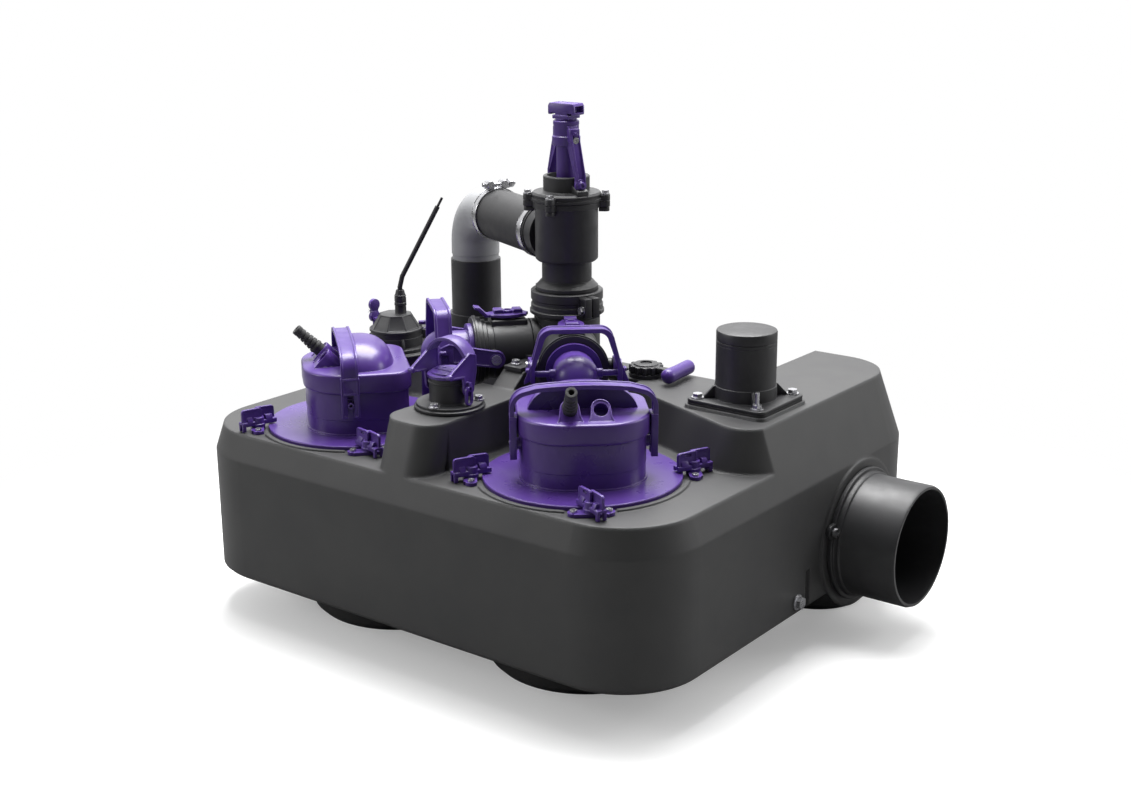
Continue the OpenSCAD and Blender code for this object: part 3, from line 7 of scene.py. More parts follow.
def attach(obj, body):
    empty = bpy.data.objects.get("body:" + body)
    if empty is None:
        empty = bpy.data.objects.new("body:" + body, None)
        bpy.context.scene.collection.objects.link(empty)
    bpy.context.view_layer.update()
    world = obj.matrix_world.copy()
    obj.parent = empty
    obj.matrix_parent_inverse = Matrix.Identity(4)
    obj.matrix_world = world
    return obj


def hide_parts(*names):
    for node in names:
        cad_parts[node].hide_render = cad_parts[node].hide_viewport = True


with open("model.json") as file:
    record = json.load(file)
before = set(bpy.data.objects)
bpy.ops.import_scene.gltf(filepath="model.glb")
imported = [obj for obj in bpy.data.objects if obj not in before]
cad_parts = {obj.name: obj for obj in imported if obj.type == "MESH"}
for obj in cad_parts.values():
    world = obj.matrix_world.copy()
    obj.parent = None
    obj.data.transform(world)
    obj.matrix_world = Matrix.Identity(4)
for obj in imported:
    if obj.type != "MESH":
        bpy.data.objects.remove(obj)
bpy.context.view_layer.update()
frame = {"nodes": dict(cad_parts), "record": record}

scene = bpy.context.scene
nodes = frame["nodes"]

# the body that each CAD node moves with
bodyOf = {node: body for body, members in frame["record"]["behaviour"]["bodies"].items() for node in members}


# every length is in millimetres, unless a note says metres
metre = 1000


def mm(*values):
    return Vector([value / metre for value in values])


# camera, light, floor
cameraView = {
    "place": (1302.50, -1690.28, 901.41),
    "right": (0.79485, 0.60678, -0.00523),
    "up": (-0.16778, 0.22806, 0.95908),
    "forward": (-0.58315, 0.76145, -0.28308),
    "lens": 52.497,
    "sensor": 36,
    "nearest": 50,
}
camera = bpy.data.objects.new("photoCamera", bpy.data.cameras.new("photoCamera"))
scene.collection.objects.link(camera)
columns = [Vector(cameraView["right"]), Vector(cameraView["up"]), -Vector(cameraView["forward"])]
camera.matrix_world = Matrix.Translation(mm(*cameraView["place"])) @ Matrix(columns).transposed().to_4x4()
camera.data.lens = cameraView["lens"]
camera.data.sensor_width = cameraView["sensor"]
camera.data.clip_start = cameraView["nearest"] / metre
scene.camera = camera
scene.view_settings.view_transform = "Standard"


def toLinear(code):
    parts = [int(code[i:i + 2], 16) / 255 for i in (1, 3, 5)]
    return tuple(c / 12.92 if c <= 0.04045 else ((c + 0.055) / 1.055) ** 2.4 for c in parts) + (1.0,)


def addNode(tree, kind, settings=None, links=None):
    node = tree.nodes.new("ShaderNode" + kind)
    for key, value in (settings or {}).items():
        if isinstance(key, str) and hasattr(node, key):
            setattr(node, key, value)
        else:
            node.inputs[key].default_value = value
    for key, source in (links or {}).items():
        tree.links.new(source, node.inputs[key])
    return node


# places, sizes and the paper's fade are in metres
studio = {
    "backSide": (-0.52, 0.68, 0.52), "backFrom": -0.25, "backTo": 0.9, "skyLow": 0.10, "skyHigh": 1.25,
    "paperSeen": "#e4e4e4", "paperBounce": "#8c8c8c", "paperGlow": 0.3, "paperSize": 30,
    "fadeFrom": 0.45, "fadeTo": 1.05,
    "softbox": {"place": (-0.3, 0.5, 2.2), "aim": (0, 0, 0.3), "size": 1.6, "watts": 120},
    "front": {"place": (-2.0, -2.2, 1.5), "aim": (-0.1, 0, 0.25), "size": 1.0, "watts": 26},
    "rim": {"place": (1.9, 1.6, 1.3), "aim": (0, 0, 0.3), "size": 1.0, "watts": 18},
}
white = toLinear("#ffffff")
world = bpy.data.worlds.new("paleStudio")
world.use_nodes = True
scene.world = world
worldTree = world.node_tree
worldTree.nodes.clear()
ray = addNode(worldTree, "LightPath")
seen = addNode(worldTree, "Math", {"operation": "MAXIMUM"},
    {0: ray.outputs["Is Camera Ray"], 1: ray.outputs["Is Transmission Ray"]})
# bright wall behind the part, dim room on the viewer's side
skyWay = addNode(worldTree, "TexCoord")
towardBack = addNode(worldTree, "VectorMath", {"operation": "DOT_PRODUCT", 1: studio["backSide"]},
    {0: skyWay.outputs["Generated"]})
room = addNode(worldTree, "MapRange", {"From Min": studio["backFrom"], "From Max": studio["backTo"],
    "To Min": studio["skyLow"], "To Max": studio["skyHigh"]}, {"Value": towardBack.outputs["Value"]})
level = addNode(worldTree, "MapRange", {"To Max": 1.0}, {"Value": seen.outputs[0], "To Min": room.outputs[0]})
backdrop = addNode(worldTree, "Background", {"Color": white}, {"Strength": level.outputs[0]})
addNode(worldTree, "OutputWorld", None, {"Surface": backdrop.outputs[0]})

for lampName in ("softbox", "front", "rim"):
    values = studio[lampName]
    lamp = bpy.data.objects.new(lampName, bpy.data.lights.new(lampName, "AREA"))
    lamp.data.shape = "SQUARE"
    lamp.data.size = values["size"]
    lamp.data.energy = values["watts"]
    scene.collection.objects.link(lamp)
    lamp.location = values["place"]
    aim = Vector(values["aim"]) - Vector(values["place"])
    lamp.rotation_euler = aim.to_track_quat("-Z", "Y").to_euler()

bpy.ops.mesh.primitive_plane_add(size=studio["paperSize"], location=(0, 0, 0))
floor = bpy.context.object
floor.name = "studioFloor"
floorPaint = bpy.data.materials.new("mattWhitePaper")
floorPaint.use_nodes = True
floorTree = floorPaint.node_tree
floorShader = floorTree.nodes["Principled BSDF"]
floorShader.inputs["Roughness"].default_value = 1.0
floorShader.inputs["Specular IOR Level"].default_value = 0.0
floorRay = addNode(floorTree, "LightPath")
# paper white to the eye, a dimmer sheet to the light that bounces back up
paper = addNode(floorTree, "Mix", {"data_type": "RGBA", 6: toLinear(studio["paperBounce"]),
    7: toLinear(studio["paperSeen"])}, {0: floorRay.outputs["Is Camera Ray"]})
floorTree.links.new(paper.outputs[2], floorShader.inputs["Base Color"])
# the paper runs out into the white wall well away from the part
floorPlace = addNode(floorTree, "TexCoord")
away = addNode(floorTree, "VectorMath", {"operation": "LENGTH"}, {0: floorPlace.outputs["Object"]})
fade = addNode(floorTree, "MapRange", {"interpolation_type": "SMOOTHSTEP", "From Min": studio["fadeFrom"],
    "From Max": studio["fadeTo"]}, {"Value": away.outputs["Value"]})
fadeSeen = addNode(floorTree, "Math", {"operation": "MULTIPLY"},
    {0: fade.outputs[0], 1: floorRay.outputs["Is Camera Ray"]})
# and glows a little to the eye alone, which keeps the shadow pale
paperGlow = addNode(floorTree, "Math", {"operation": "MULTIPLY", 1: studio["paperGlow"]},
    {0: floorRay.outputs["Is Camera Ray"]})
floorTree.links.new(paperGlow.outputs[0], floorShader.inputs["Emission Strength"])
floorShader.inputs["Emission Color"].default_value = white
glow = addNode(floorTree, "Emission", {"Color": white, "Strength": 1.0})
blend = addNode(floorTree, "MixShader", None, {0: fadeSeen.outputs[0], 1: floorShader.outputs[0], 2: glow.outputs[0]})
floorTree.links.new(blend.outputs[0], floorTree.nodes["Material Output"].inputs["Surface"])
floor.data.materials.append(floorPaint)
print("studio ready")


# finishes
# a finish for each slot of the record; it is no metal and has a shine of 0.5 unless it says so; its lighter edge
# colour is a painted highlight along the edges, in part wear
finishes = {
    # tank: moulded polyethylene, charcoal, satin with a fine pebble that breaks up the light
    "tank_plastic": {
        "name": "mouldedPolyethylene",
        "base": "#393939", "second": "#363637", "edge": "#4c4c4e", "rough": (0.47, 0.52),
        "grainMm": 1.6, "grainLift": 0.10, "blotchMm": 60, "edgeMm": 6.0,
    },
    # sockets, valve, sensor: glass-filled polypropylene, near black, even and a little dull
    "black_plastic": {
        "name": "glassFilledPolypropylene",
        "base": "#2c2c2e", "second": "#262628", "edge": "#4e4e52", "rough": (0.36, 0.52),
        "grainMm": 0.9, "grainLift": 0.05, "blotchMm": 25, "edgeMm": 0.9,
    },
    # housings and caps: coated castings, thick violet powder coat with a slight orange peel
    "violet_coat": {
        "name": "violetPowderCoat",
        "base": "#4d327f", "second": "#482e77", "edge": "#7a5cb0", "rough": (0.26, 0.36),
        "grainMm": 2.6, "grainLift": 0.05, "blotchMm": 40, "edgeMm": 1.4, "shine": 0.55,
    },
    # grips and latches: moulded violet polyamide, smoother, brighter edges: painted highlight, and wear where hands
    # rub
    "violet_plastic": {
        "name": "violetPolyamide",
        "base": "#4d3282", "second": "#462d78", "edge": "#8466ba", "rough": (0.28, 0.42),
        "grainMm": 0.8, "grainLift": 0.03, "blotchMm": 18, "edgeMm": 0.9,
    },
    # screws and bolts: bright zinc plate, small cloudy crystals
    "zinc": {
        "name": "zincPlate",
        "base": "#c9c9cc", "second": "#a9a9ae", "edge": "#efefef", "metal": 1.0, "rough": (0.22, 0.40),
        "grainMm": 0.6, "grainLift": 0.03, "blotchMm": 3, "edgeMm": 0.4,
    },
    # hose clamps: rolled stainless band, drawn lines along the band
    "clamp_steel": {
        "name": "rolledStainless",
        "base": "#d2d2d4", "second": "#b8b8bc", "edge": "#f2f2f2", "metal": 1.0, "rough": (0.18, 0.34),
        "grainMm": 0.5, "grainLift": 0.02, "blotchMm": 5, "edgeMm": 0.4,
    },
    # seals, hose: carbon-black rubber, soft sheen with a dusty cloud
    "seal_rubber": {
        "name": "carbonBlackRubber",
        "base": "#2c2c2d", "second": "#373738", "edge": "#48484a", "rough": (0.50, 0.70),
        "grainMm": 0.7, "grainLift": 0.05, "blotchMm": 14, "edgeMm": 0.6, "shine": 0.4,
    },
    # discharge bend: grey uPVC, extruded and bent, smooth with faint flow marks
    "grey_plastic": {
        "name": "greyPvc",
        "base": "#9a9b9d", "second": "#8e8f92", "edge": "#b4b5b7", "rough": (0.38, 0.50),
        "grainMm": 3.0, "grainLift": 0.03, "blotchMm": 35, "edgeMm": 1.2,
    },
    # motor core: stacked electrical steel, dark and slightly brown between the sheets
    "motor_core": {
        "name": "motorCoreSteel",
        "base": "#8b8580", "second": "#6d6863", "edge": "#a8a4a0", "metal": 1.0, "rough": (0.38, 0.55),
        "grainMm": 0.6, "grainLift": 0.05, "blotchMm": 8, "edgeMm": 0.4,
    },
    # volutes: grey cast iron as cast, coarse and matt
    "cast_housing": {
        "name": "greyCastIron",
        "base": "#5b5b5d", "second": "#4c4c4e", "edge": "#77777a", "metal": 1.0, "rough": (0.55, 0.72),
        "grainMm": 2.0, "grainLift": 0.18, "blotchMm": 12, "edgeMm": 0.8,
    },
}


# how far the noise is spread, where a bent normal counts as an edge, and how strong the grain is
cloudRange = {"From Min": 0.3, "From Max": 0.7}
edgeRange = {"From Min": 0.995, "From Max": 0.86}
grainStrength = 0.8


def makeFinish(look):
    look = {"metal": 0.0, "shine": 0.5, **look}
    material = bpy.data.materials.new(look["name"])
    material.use_nodes = True
    tree = material.node_tree
    shader = tree.nodes["Principled BSDF"]
    place = addNode(tree, "TexCoord").outputs["Object"]
    blotch = addNode(tree, "TexNoise", {"Scale": metre / look["blotchMm"], "Detail": 4.0}, {"Vector": place})
    grain = addNode(tree, "TexNoise", {"Scale": metre / look["grainMm"], "Detail": 2.0}, {"Vector": place})
    rounded = addNode(tree, "Bevel", {"samples": 4, "Radius": look["edgeMm"] / metre})
    surface = addNode(tree, "NewGeometry")
    turned = addNode(tree, "VectorMath", {"operation": "DOT_PRODUCT"},
        {0: rounded.outputs[0], 1: surface.outputs["Normal"]})
    onEdge = addNode(tree, "MapRange", edgeRange, {"Value": turned.outputs["Value"]})
    # lighter edge colour in patches along the edges: a painted highlight, in part wear
    wearAndHighlight = addNode(tree, "Math", {"operation": "MULTIPLY"}, {0: onEdge.outputs[0], 1: blotch.outputs["Fac"]})
    spread = addNode(tree, "MapRange", cloudRange, {"Value": blotch.outputs["Fac"]})
    ground = addNode(tree, "Mix", {"data_type": "RGBA", 6: toLinear(look["base"]), 7: toLinear(look["second"])},
        {0: spread.outputs[0]})
    colour = addNode(tree, "Mix", {"data_type": "RGBA", 7: toLinear(look["edge"])},
        {0: wearAndHighlight.outputs[0], 6: ground.outputs[2]})
    rough = addNode(tree, "MapRange", {**cloudRange, "To Min": look["rough"][0], "To Max": look["rough"][1]},
        {"Value": blotch.outputs["Fac"]})
    bump = addNode(tree, "Bump", {"Strength": grainStrength, "Distance": look["grainLift"] / metre},
        {"Height": grain.outputs["Fac"], "Normal": rounded.outputs[0]})
    tree.links.new(colour.outputs[2], shader.inputs["Base Color"])
    tree.links.new(rough.outputs[0], shader.inputs["Roughness"])
    tree.links.new(bump.outputs[0], shader.inputs["Normal"])
    shader.inputs["Metallic"].default_value = look["metal"]
    shader.inputs["Specular IOR Level"].default_value = look["shine"]
    return material


finish = {slot: makeFinish(look) for slot, look in finishes.items()}

slotOf = {part["node"]: part["material_slot"] for part in frame["record"]["subparts"]}
for nodeName, node in nodes.items():
    node.data.materials.clear()
    node.data.materials.append(finish[slotOf[nodeName]])
print("finishes ready:", len(finish))


# tools


def clear():
    bpy.ops.object.select_all(action="DESELECT")


def startEditing():
    bpy.ops.object.mode_set(mode="EDIT")


def doneEditing():
    bpy.ops.object.mode_set(mode="OBJECT")


def pickAll():
    bpy.ops.mesh.select_all(action="SELECT")


def settle():
    bpy.ops.object.transform_apply(location=True, rotation=True, scale=True)


def hold(piece):
    clear()
    piece.select_set(True)
    bpy.context.view_layer.objects.active = piece


def named(name):
    piece = bpy.context.object
    piece.name = name
    piece.data.name = name
    hold(piece)
    return piece


def addDrum(name, radius, depth, at=(0, 0, 0), turn=(0, 0, 0), corners=64, topRadius=None):
    clear()
    angles = [math.radians(a) for a in turn]
    bpy.ops.mesh.primitive_cone_add(vertices=corners, radius1=radius / metre,
        radius2=(radius if topRadius is None else topRadius) / metre, depth=depth / metre, location=mm(*at),
        rotation=angles)
    piece = named(name)
    settle()
    return piece


# a drum that lies along X or Y
def addRod(name, radius, length, at, axis, corners=32):
    return addDrum(name, radius, length, at, (0, 90, 0) if axis == "X" else (90, 0, 0), corners)


# the hexagon of a lying bolt or nut, with its edges rounded
def addHex(name, radius, length, at, axis, edge=0.5):
    return soften(addRod(name, radius, length, at, axis, 6), edge, 2, 20)


def addBlock(name, size, at=(0, 0, 0)):
    clear()
    bpy.ops.mesh.primitive_cube_add(size=1, location=mm(*at))
    piece = named(name)
    piece.scale = mm(*size)
    settle()
    return piece


# a flat outline in two directions, drawn out along the third, from low to high
def addPlate(name, outline, low, high, along="Z"):
    clear()
    bpy.ops.mesh.primitive_circle_add(vertices=len(outline), radius=1, fill_type="NGON")
    piece = named(name)
    axes = {"Z": (0, 1, 2), "X": (1, 2, 0), "Y": (0, 2, 1)}[along]
    for vertex, (a, b) in zip(piece.data.vertices, outline):
        point = [0, 0, 0]
        point[axes[0]], point[axes[1]], point[axes[2]] = a / metre, b / metre, low / metre
        vertex.co = point
    lift = [0, 0, 0]
    lift[axes[2]] = (high - low) / metre
    startEditing()
    pickAll()
    bpy.ops.mesh.extrude_region_move(TRANSFORM_OT_translate={"value": lift})
    pickAll()
    bpy.ops.mesh.normals_make_consistent(inside=False)
    doneEditing()
    return piece


# a closed outline of (radius, height) turned about Z
def addTurned(name, outline, steps):
    clear()
    bpy.ops.mesh.primitive_circle_add(vertices=len(outline), radius=1, fill_type="NOTHING")
    piece = named(name)
    for vertex, (radius, height) in zip(piece.data.vertices, outline):
        vertex.co = mm(radius, 0, height)
    startEditing()
    pickAll()
    bpy.ops.mesh.spin(steps=steps, angle=2 * math.pi, center=(0, 0, 0), axis=(0, 0, 1))
    pickAll()
    bpy.ops.mesh.remove_doubles(threshold=0.01 / metre)
    bpy.ops.mesh.normals_make_consistent(inside=False)
    doneEditing()
    return piece


def move(piece, at=(0, 0, 0), turn=(0, 0, 0)):
    hold(piece)
    piece.location = mm(*at)
    piece.rotation_euler = [math.radians(a) for a in turn]
    settle()
    return piece


# turns a piece about the upright axis through the origin
def swing(piece, angle):
    return move(piece, turn=(0, 0, angle))


# a rectangle with rounded corners: its middle, half lengths, and the corner radii at its right and left
def roundedPlan(middle, halfX, halfY, right, left, steps):
    points = []
    for sx, sy, start in ((1, 1, 0), (-1, 1, 90), (-1, -1, 180), (1, -1, 270)):
        r = right if sx > 0 else left
        points += arc((middle + sx * (halfX - r), sy * (halfY - r)), r, start, start + 90, steps)
    return points


# opens edit mode with the faces whose middle (mm) and normal pass the test
def pickFaces(piece, wanted):
    hold(piece)
    bpy.context.tool_settings.mesh_select_mode = (False, False, True)
    startEditing()
    bpy.ops.mesh.select_all(action="DESELECT")
    doneEditing()
    for face in piece.data.polygons:
        face.select = bool(wanted(face.center * metre, face.normal))
    startEditing()


# the test for faces that look along an axis, to its plus or its minus side
def facing(axis, sign=1):
    return lambda middle, normal: getattr(normal, axis) * sign > 0.9


# the test for the faces of a band bent in Y and Z that lie on an outline, above a height
def onOutline(outline, lowest):
    middles = [((a[0] + b[0]) / 2, (a[1] + b[1]) / 2) for a, b in zip(outline, outline[1:])]
    return lambda middle, normal: (abs(normal.x) < 0.2 and middle.z > lowest
        and min(math.dist((middle.y, middle.z), m) for m in middles) < 0.05)


# leaves a border round the picked faces and sinks the field inside it, behind a steep wall
def sink(piece, wanted, border, wall, depth, each=False):
    pickFaces(piece, wanted)
    bpy.ops.mesh.inset(thickness=border / metre, depth=0, use_individual=each)
    bpy.ops.mesh.inset(thickness=wall / metre, depth=-depth / metre, use_individual=each)
    doneEditing()


def modify(piece, kind, **settings):
    hold(piece)
    modifier = piece.modifiers.new(kind.lower(), kind)
    for key, value in settings.items():
        setattr(modifier, key, value)
    bpy.ops.object.modifier_apply(modifier=modifier.name)
    return piece


def cut(piece, *cutters):
    for cutter in cutters:
        modify(piece, "BOOLEAN", operation="DIFFERENCE", object=cutter, solver="EXACT")
        bpy.data.objects.remove(cutter)
    return piece


def weld(piece, *others):
    for other in others:
        modify(piece, "BOOLEAN", operation="UNION", object=other, solver="EXACT")
        bpy.data.objects.remove(other)
    return piece


def gather(piece, *others):
    hold(piece)
    for other in others:
        other.select_set(True)
    bpy.ops.object.join()
    return piece


def soften(piece, width, steps, angle=32):
    return modify(piece, "BEVEL", width=width / metre, segments=steps, limit_method="ANGLE",
        angle_limit=math.radians(angle), use_clamp_overlap=True, harden_normals=False)


# faces that meet below this angle (degrees) are shaded as one
smoothAngle = 35


def smooth(piece):
    hold(piece)
    bpy.ops.object.shade_smooth_by_angle(angle=math.radians(smoothAngle))
    return piece


def twin(piece, name):
    copy = piece.copy()
    copy.data = piece.data.copy()
    copy.name = name
    copy.data.name = name
    scene.collection.objects.link(copy)
    return copy


# the name, the slot with its finish, the body to ride on and the CAD nodes that the piece stands for
def dress(piece, name, slotName, *replaced, body=None):
    piece.name = name
    piece.data.materials.clear()
    piece.data.materials.append(finish[slotName])
    smooth(piece)
    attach(piece, body or bodyOf[replaced[0]])
    if replaced:
        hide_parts(*replaced)
    return piece


# radius of the pins that things turn on, and of the bores round them
pinRadius, boreRadius = 3.9, 4.1
# width (mm), steps and least angle of the rounding that most moulded edges get
fineEdge = (0.5, 2, 40)

# the valve's axis, the hose's root on it, the hose's bearing and the lugs' bearings
valveLine = {"axis": (0, 15, 0), "outlet": (0, 15, 492), "turn": 156, "lugs": (32.4, 102.4, 212.4, 282.4)}


# an outline with all its heights raised by the same amount
def above(base, outline):
    return [(a, base + b) for a, b in outline]


def arc(middle, radius, start, end, steps):
    return [(middle[0] + radius * math.cos(math.radians(start + (end - start) * i / steps)),
        middle[1] + radius * math.sin(math.radians(start + (end - start) * i / steps))) for i in range(steps + 1)]


# pump frames: local X runs along the discharge line, Y across it
pumps = {"l": -1, "r": 1}
pumpPlace = {"x": 184, "y": -197, "heading": 90, "toe": 41}


def toPump(piece, side, turn=0):
    s = pumps[side]
    heading = pumpPlace["heading"] + s * pumpPlace["toe"] + turn
    hold(piece)
    place = Matrix.Translation(mm(s * pumpPlace["x"], pumpPlace["y"], 0))
    piece.matrix_world = place @ Matrix.Rotation(math.radians(heading), 4, "Z")
    settle()
    return piece


# a twin of the piece on each pump, in place of the node of that side
def onPumps(piece, name, slotName, nodeStart):
    for side in pumps:
        dress(toPump(twin(piece, name + side), side), name + side, slotName, nodeStart + side)
    bpy.data.objects.remove(piece)


# pump handles
handleLook = {"width": 174, "strap": 22, "foot": 288.3, "top": 377.3, "legWide": 23, "legThick": 8, "legHigh": 52,
    "slot": 4.1, "slotTop": 35, "channel": 1.6, "rim": 2.6, "band": 5.5, "bandFoot": 30, "corner": 22,
    "cornerDrop": 6, "crown": 6.5, "crownHalf": 84, "offset": -17}


def handleArch(look, inset):
    half = look["width"] / 2 - inset
    top = look["top"] - inset
    corner = look["corner"] - inset
    foot, bend = look["foot"] + look["bandFoot"], top - look["cornerDrop"] - corner
    points = [(-half, foot)]
    points += arc((-half + corner, bend), corner, 180, 100, 8)
    points += [(x, top - (x / look["crownHalf"]) ** 2 * look["crown"]) for x in range(-56, 57, 14)]
    points += arc((half - corner, bend), corner, 80, 0, 8)
    return points + [(half, foot)]


def makeHandle(look):
    half, foot, thick, high = look["width"] / 2, look["foot"], look["legThick"], look["legHigh"]
    outer, inner = handleArch(look, 0), handleArch(look, look["band"])
    band = addPlate("handleBand", outer + inner[::-1], -look["strap"] / 2, look["strap"] / 2, "X")
    # sunk channel between two rims on the outside and on the inside
    for ring in (outer, inner):
        sink(band, onOutline(ring, foot + look["bandFoot"] + 1), look["rim"], 0.5, look["channel"])
    # legs with a step at the top and a long slot open at the foot
    legs = []
    for side in (-1, 1):
        leg = addBlock("handleLeg", (look["legWide"], thick, high), (0, side * (half - thick / 2), foot + high / 2))
        lip = addBlock("handleLip", (look["legWide"] + 0.6, thick + 0.8, 3),
            (0, side * (half - thick / 2 - 0.2), foot + high - 1.5))
        sink(leg, facing("y", side), 2.4, 0.3, 1.2)
        slotEnd = addRod("slotEnd", look["slot"], 20, (0, side * half, foot + look["slotTop"]), "Y")
        slotWay = addBlock("slotWay", (2 * look["slot"], 20, 60), (0, side * half, foot + look["slotTop"] - 30))
        cut(leg, slotEnd, slotWay)
        legs += [soften(leg, 0.5, 2), soften(lip, 0.7, 2)]
    soften(band, 0.6, 2, 40)
    return move(gather(band, *legs), (look["offset"], 0, 0))


onPumps(makeHandle(handleLook), "carryHandle_", "violet_plastic", "handle_")
print("handles")


# pump caps
capLook = {"low": 316.45, "top": 342.3, "length": 137, "width": 157, "frontCorner": 60, "backCorner": 30,
    "middle": -4, "edge": 3.5, "wall": 4.5, "hollow": 22, "bump": 47.5, "bumpPower": 0.82, "bumpBreadth": 1.42,
    "bumpDrop": 16, "ramps": (-18, 18), "rampAt": -46, "rampRise": 10, "rampTurn": -45, "bore": 8.55,
    "boreShift": 6.4}


def capPlan(look, inset):
    return roundedPlan(look["middle"], look["length"] / 2 - inset, look["width"] / 2 - inset,
        look["backCorner"] - inset, look["frontCorner"] - inset, 16)


def makeCap(look):
    shell = addPlate("capShell", capPlan(look, 0), look["low"], look["top"])
    soften(shell, look["edge"], 4, 60)
    hollow = addPlate("capHollow", capPlan(look, look["wall"]), look["low"] - 5, look["low"] + look["hollow"])
    # vaulted bump behind the handle, closed with round ends
    clear()
    radius = look["bump"] / metre
    bpy.ops.mesh.primitive_uv_sphere_add(segments=64, ring_count=32, radius=radius)
    bump = named("capBump")
    for vertex in bump.data.vertices:
        x, y, z = [math.copysign(abs(c / radius) ** look["bumpPower"], c) * radius for c in vertex.co]
        vertex.co = (x, y * look["bumpBreadth"], z)
        vertex.co.z += (look["top"] - look["bumpDrop"]) / metre
    keep = addBlock("bumpBox", (60, 140, 60), (25, 0, look["top"] + 26))
    modify(bump, "BOOLEAN", operation="INTERSECT", object=keep, solver="EXACT")
    bpy.data.objects.remove(keep)
    soften(bump, 2.2, 3, 50)
    weld(shell, bump)
    at, top = look["rampAt"], look["top"] + look["rampRise"]
    # two ramps for the cables: a tilted arch with a thin rim round its sunk face
    for y in look["ramps"]:
        outline = arc((2, 0), 11.5, -80, 80, 14) + [(-8, 12.5), (-18.4, 16.5), (-30, 16.5), (-30, -16.5),
            (-18.4, -16.5), (-8, -12.5)]
        ramp = addPlate("capRamp", outline, -24, 2)
        sink(ramp, facing("z"), 1.3, 0.3, 1.1)
        move(ramp, (at, y, top), (0, look["rampTurn"], 0))
        cut(ramp, addBlock("rampTrim", (120, 60, 40), (at, y, look["top"] - 22)))
        weld(shell, soften(ramp, 0.6, 2, 40))
    bores = [addDrum("rampBore", look["bore"], 46, (at - look["boreShift"], y, top + look["boreShift"]),
        (0, look["rampTurn"], 0), 40) for y in look["ramps"]]
    cut(shell, hollow, *bores)
    return shell


onPumps(makeCap(capLook), "motorCap_", "violet_coat", "cap_")
print("caps")


# wing latches
latchLook = {"radius": 133, "turn": 25, "low": 263, "rail": 6, "length": 49, "width": 12, "top": 286.4,
    "plate": 3.4, "corner": 4}


def wingPlate(look, x0, x1, y0, roundLeft, top):
    r = look["corner"]
    low = look["low"] + look["rail"] - 1
    left = arc((x0 + r, top - r), r, 180, 90, 5) if roundLeft else [(x0, top - 3), (x0 + 3, top)]
    right = arc((x1 - r, top - r), r, 90, 0, 5) if not roundLeft else [(x1 - 2, top + 1), (x1, top - 1)]
    plate = addPlate("latchWing", [(x0, low)] + left + right + [(x1, low)], y0, y0 + look["plate"], "Y")
    # shallow panel on both faces, a border left round it
    for sign in (-1, 1):
        sink(plate, facing("y", sign), 2.2, 0.4, 0.6)
    return soften(plate, *fineEdge)


def makeLatch(look):
    low, half, wide = look["low"], look["length"] / 2, look["width"] / 2
    rail = addPlate("latchRail", [(-wide, low), (-wide, low + 5), (1 - wide, low + look["rail"]),
        (wide - 1, low + look["rail"]), (wide, low + 5), (wide, low), (2.4, low), (2.4, low + 2.6), (-2.4, low + 2.6),
        (-2.4, low)], -half, half, "X")
    soften(rail, *fineEdge)
    # two prongs at the outer end, down to the deck
    prongs = [soften(addBlock("latchProng", (5, 3.2, 7.4), (half - 2.6, y, low - 2.8)), 0.5, 2) for y in (-4.3, 4.3)]
    boss = addTurned("latchBoss", above(low, [(boreRadius, -1.5), (9.4, -1.5), (9.4, 1.2), (8.4, 2), (8, 9.6),
        (7.2, 10.4), (boreRadius, 10.4)]), 40)
    pin = addDrum("latchPin", pinRadius, 8, (0, 0, low + 5.6), corners=32)
    # sloping ledges from the rail up to the wing
    ledges = [soften(addPlate("latchLedge", above(low, [(-6, 5.5), (-3.2, 11.5), (3.2, 11.5), (6, 5.5)]), x0, x1,
        "X"), 0.6, 2, 30) for x0, x1 in ((-19, -9.5), (9.5, 17))]
    near = wingPlate(look, -24, 3, -3.6, True, look["top"] - 1.4)
    far = wingPlate(look, -5, 24, 0.1, False, look["top"] - 0.9)
    cut(near, soften(addBlock("wingHollow", (9, 6, 3.6), (-9, -4, look["top"] - 5.2)), 1.2, 3))
    return gather(rail, boss, pin, near, far, *prongs, *ledges)


latch = move(makeLatch(latchLook), (latchLook["radius"], 0, 0), (0, 0, latchLook["turn"]))
for index, (side, turn) in enumerate([(side, turn) for side in pumps for turn in (90, 180, 270)]):
    name = "wingLatch_%d" % (index + 1)
    dress(toPump(twin(latch, name), side, turn), name, "violet_plastic", "latch_%d" % (index + 1))
bpy.data.objects.remove(latch)
print("latches")


# cable sleeves
sleeveLook = {"seat": (capLook["rampAt"], capLook["ramps"][1], 352.3), "tilt": capLook["rampTurn"], "root": 8.5,
    "tip": 6.1, "length": 43.8, "ribs": (13, 19, 25, 31)}


def makeSleeve(look):
    root, tip, end = look["root"], look["tip"], look["length"]

    def slope(z):
        return root + 0.5 - (root + 0.5 - tip) * (z - 8) / (end - 8)

    outline = [(3.2, -8), (root, -8), (root, 7.5), (root + 0.9, 8), (root + 0.9, 10)]
    for z in look["ribs"]:
        outline += [(slope(z), z - 1.2), (slope(z) - 1.5, z - 0.9), (slope(z) - 1.5, z + 0.9), (slope(z), z + 1.2)]
    outline += [(slope(38), 38), (tip + 0.9, 38.4), (tip + 0.9, 43), (tip + 0.3, end), (3.9, end), (3.2, end - 0.8)]
    return move(addTurned("cableSleeve", outline, 48), look["seat"], (0, look["tilt"], 0))


sleeve = makeSleeve(sleeveLook)
both = [toPump(twin(sleeve, "cableSleeve_" + side), side) for side in pumps]
bpy.data.objects.remove(sleeve)
dress(gather(*both), "cableSleeves", "seal_rubber", "bend_sleeves", body="station")
print("sleeves")


# coupling levers
leverLook = {"arch": 108, "depth": 22, "half": 57, "foot": 345, "top": 413, "shoulder": 18, "flat": 30, "band": 5.6,
    "pivot": (175, 346), "arm": 5, "rod": (108, 354)}


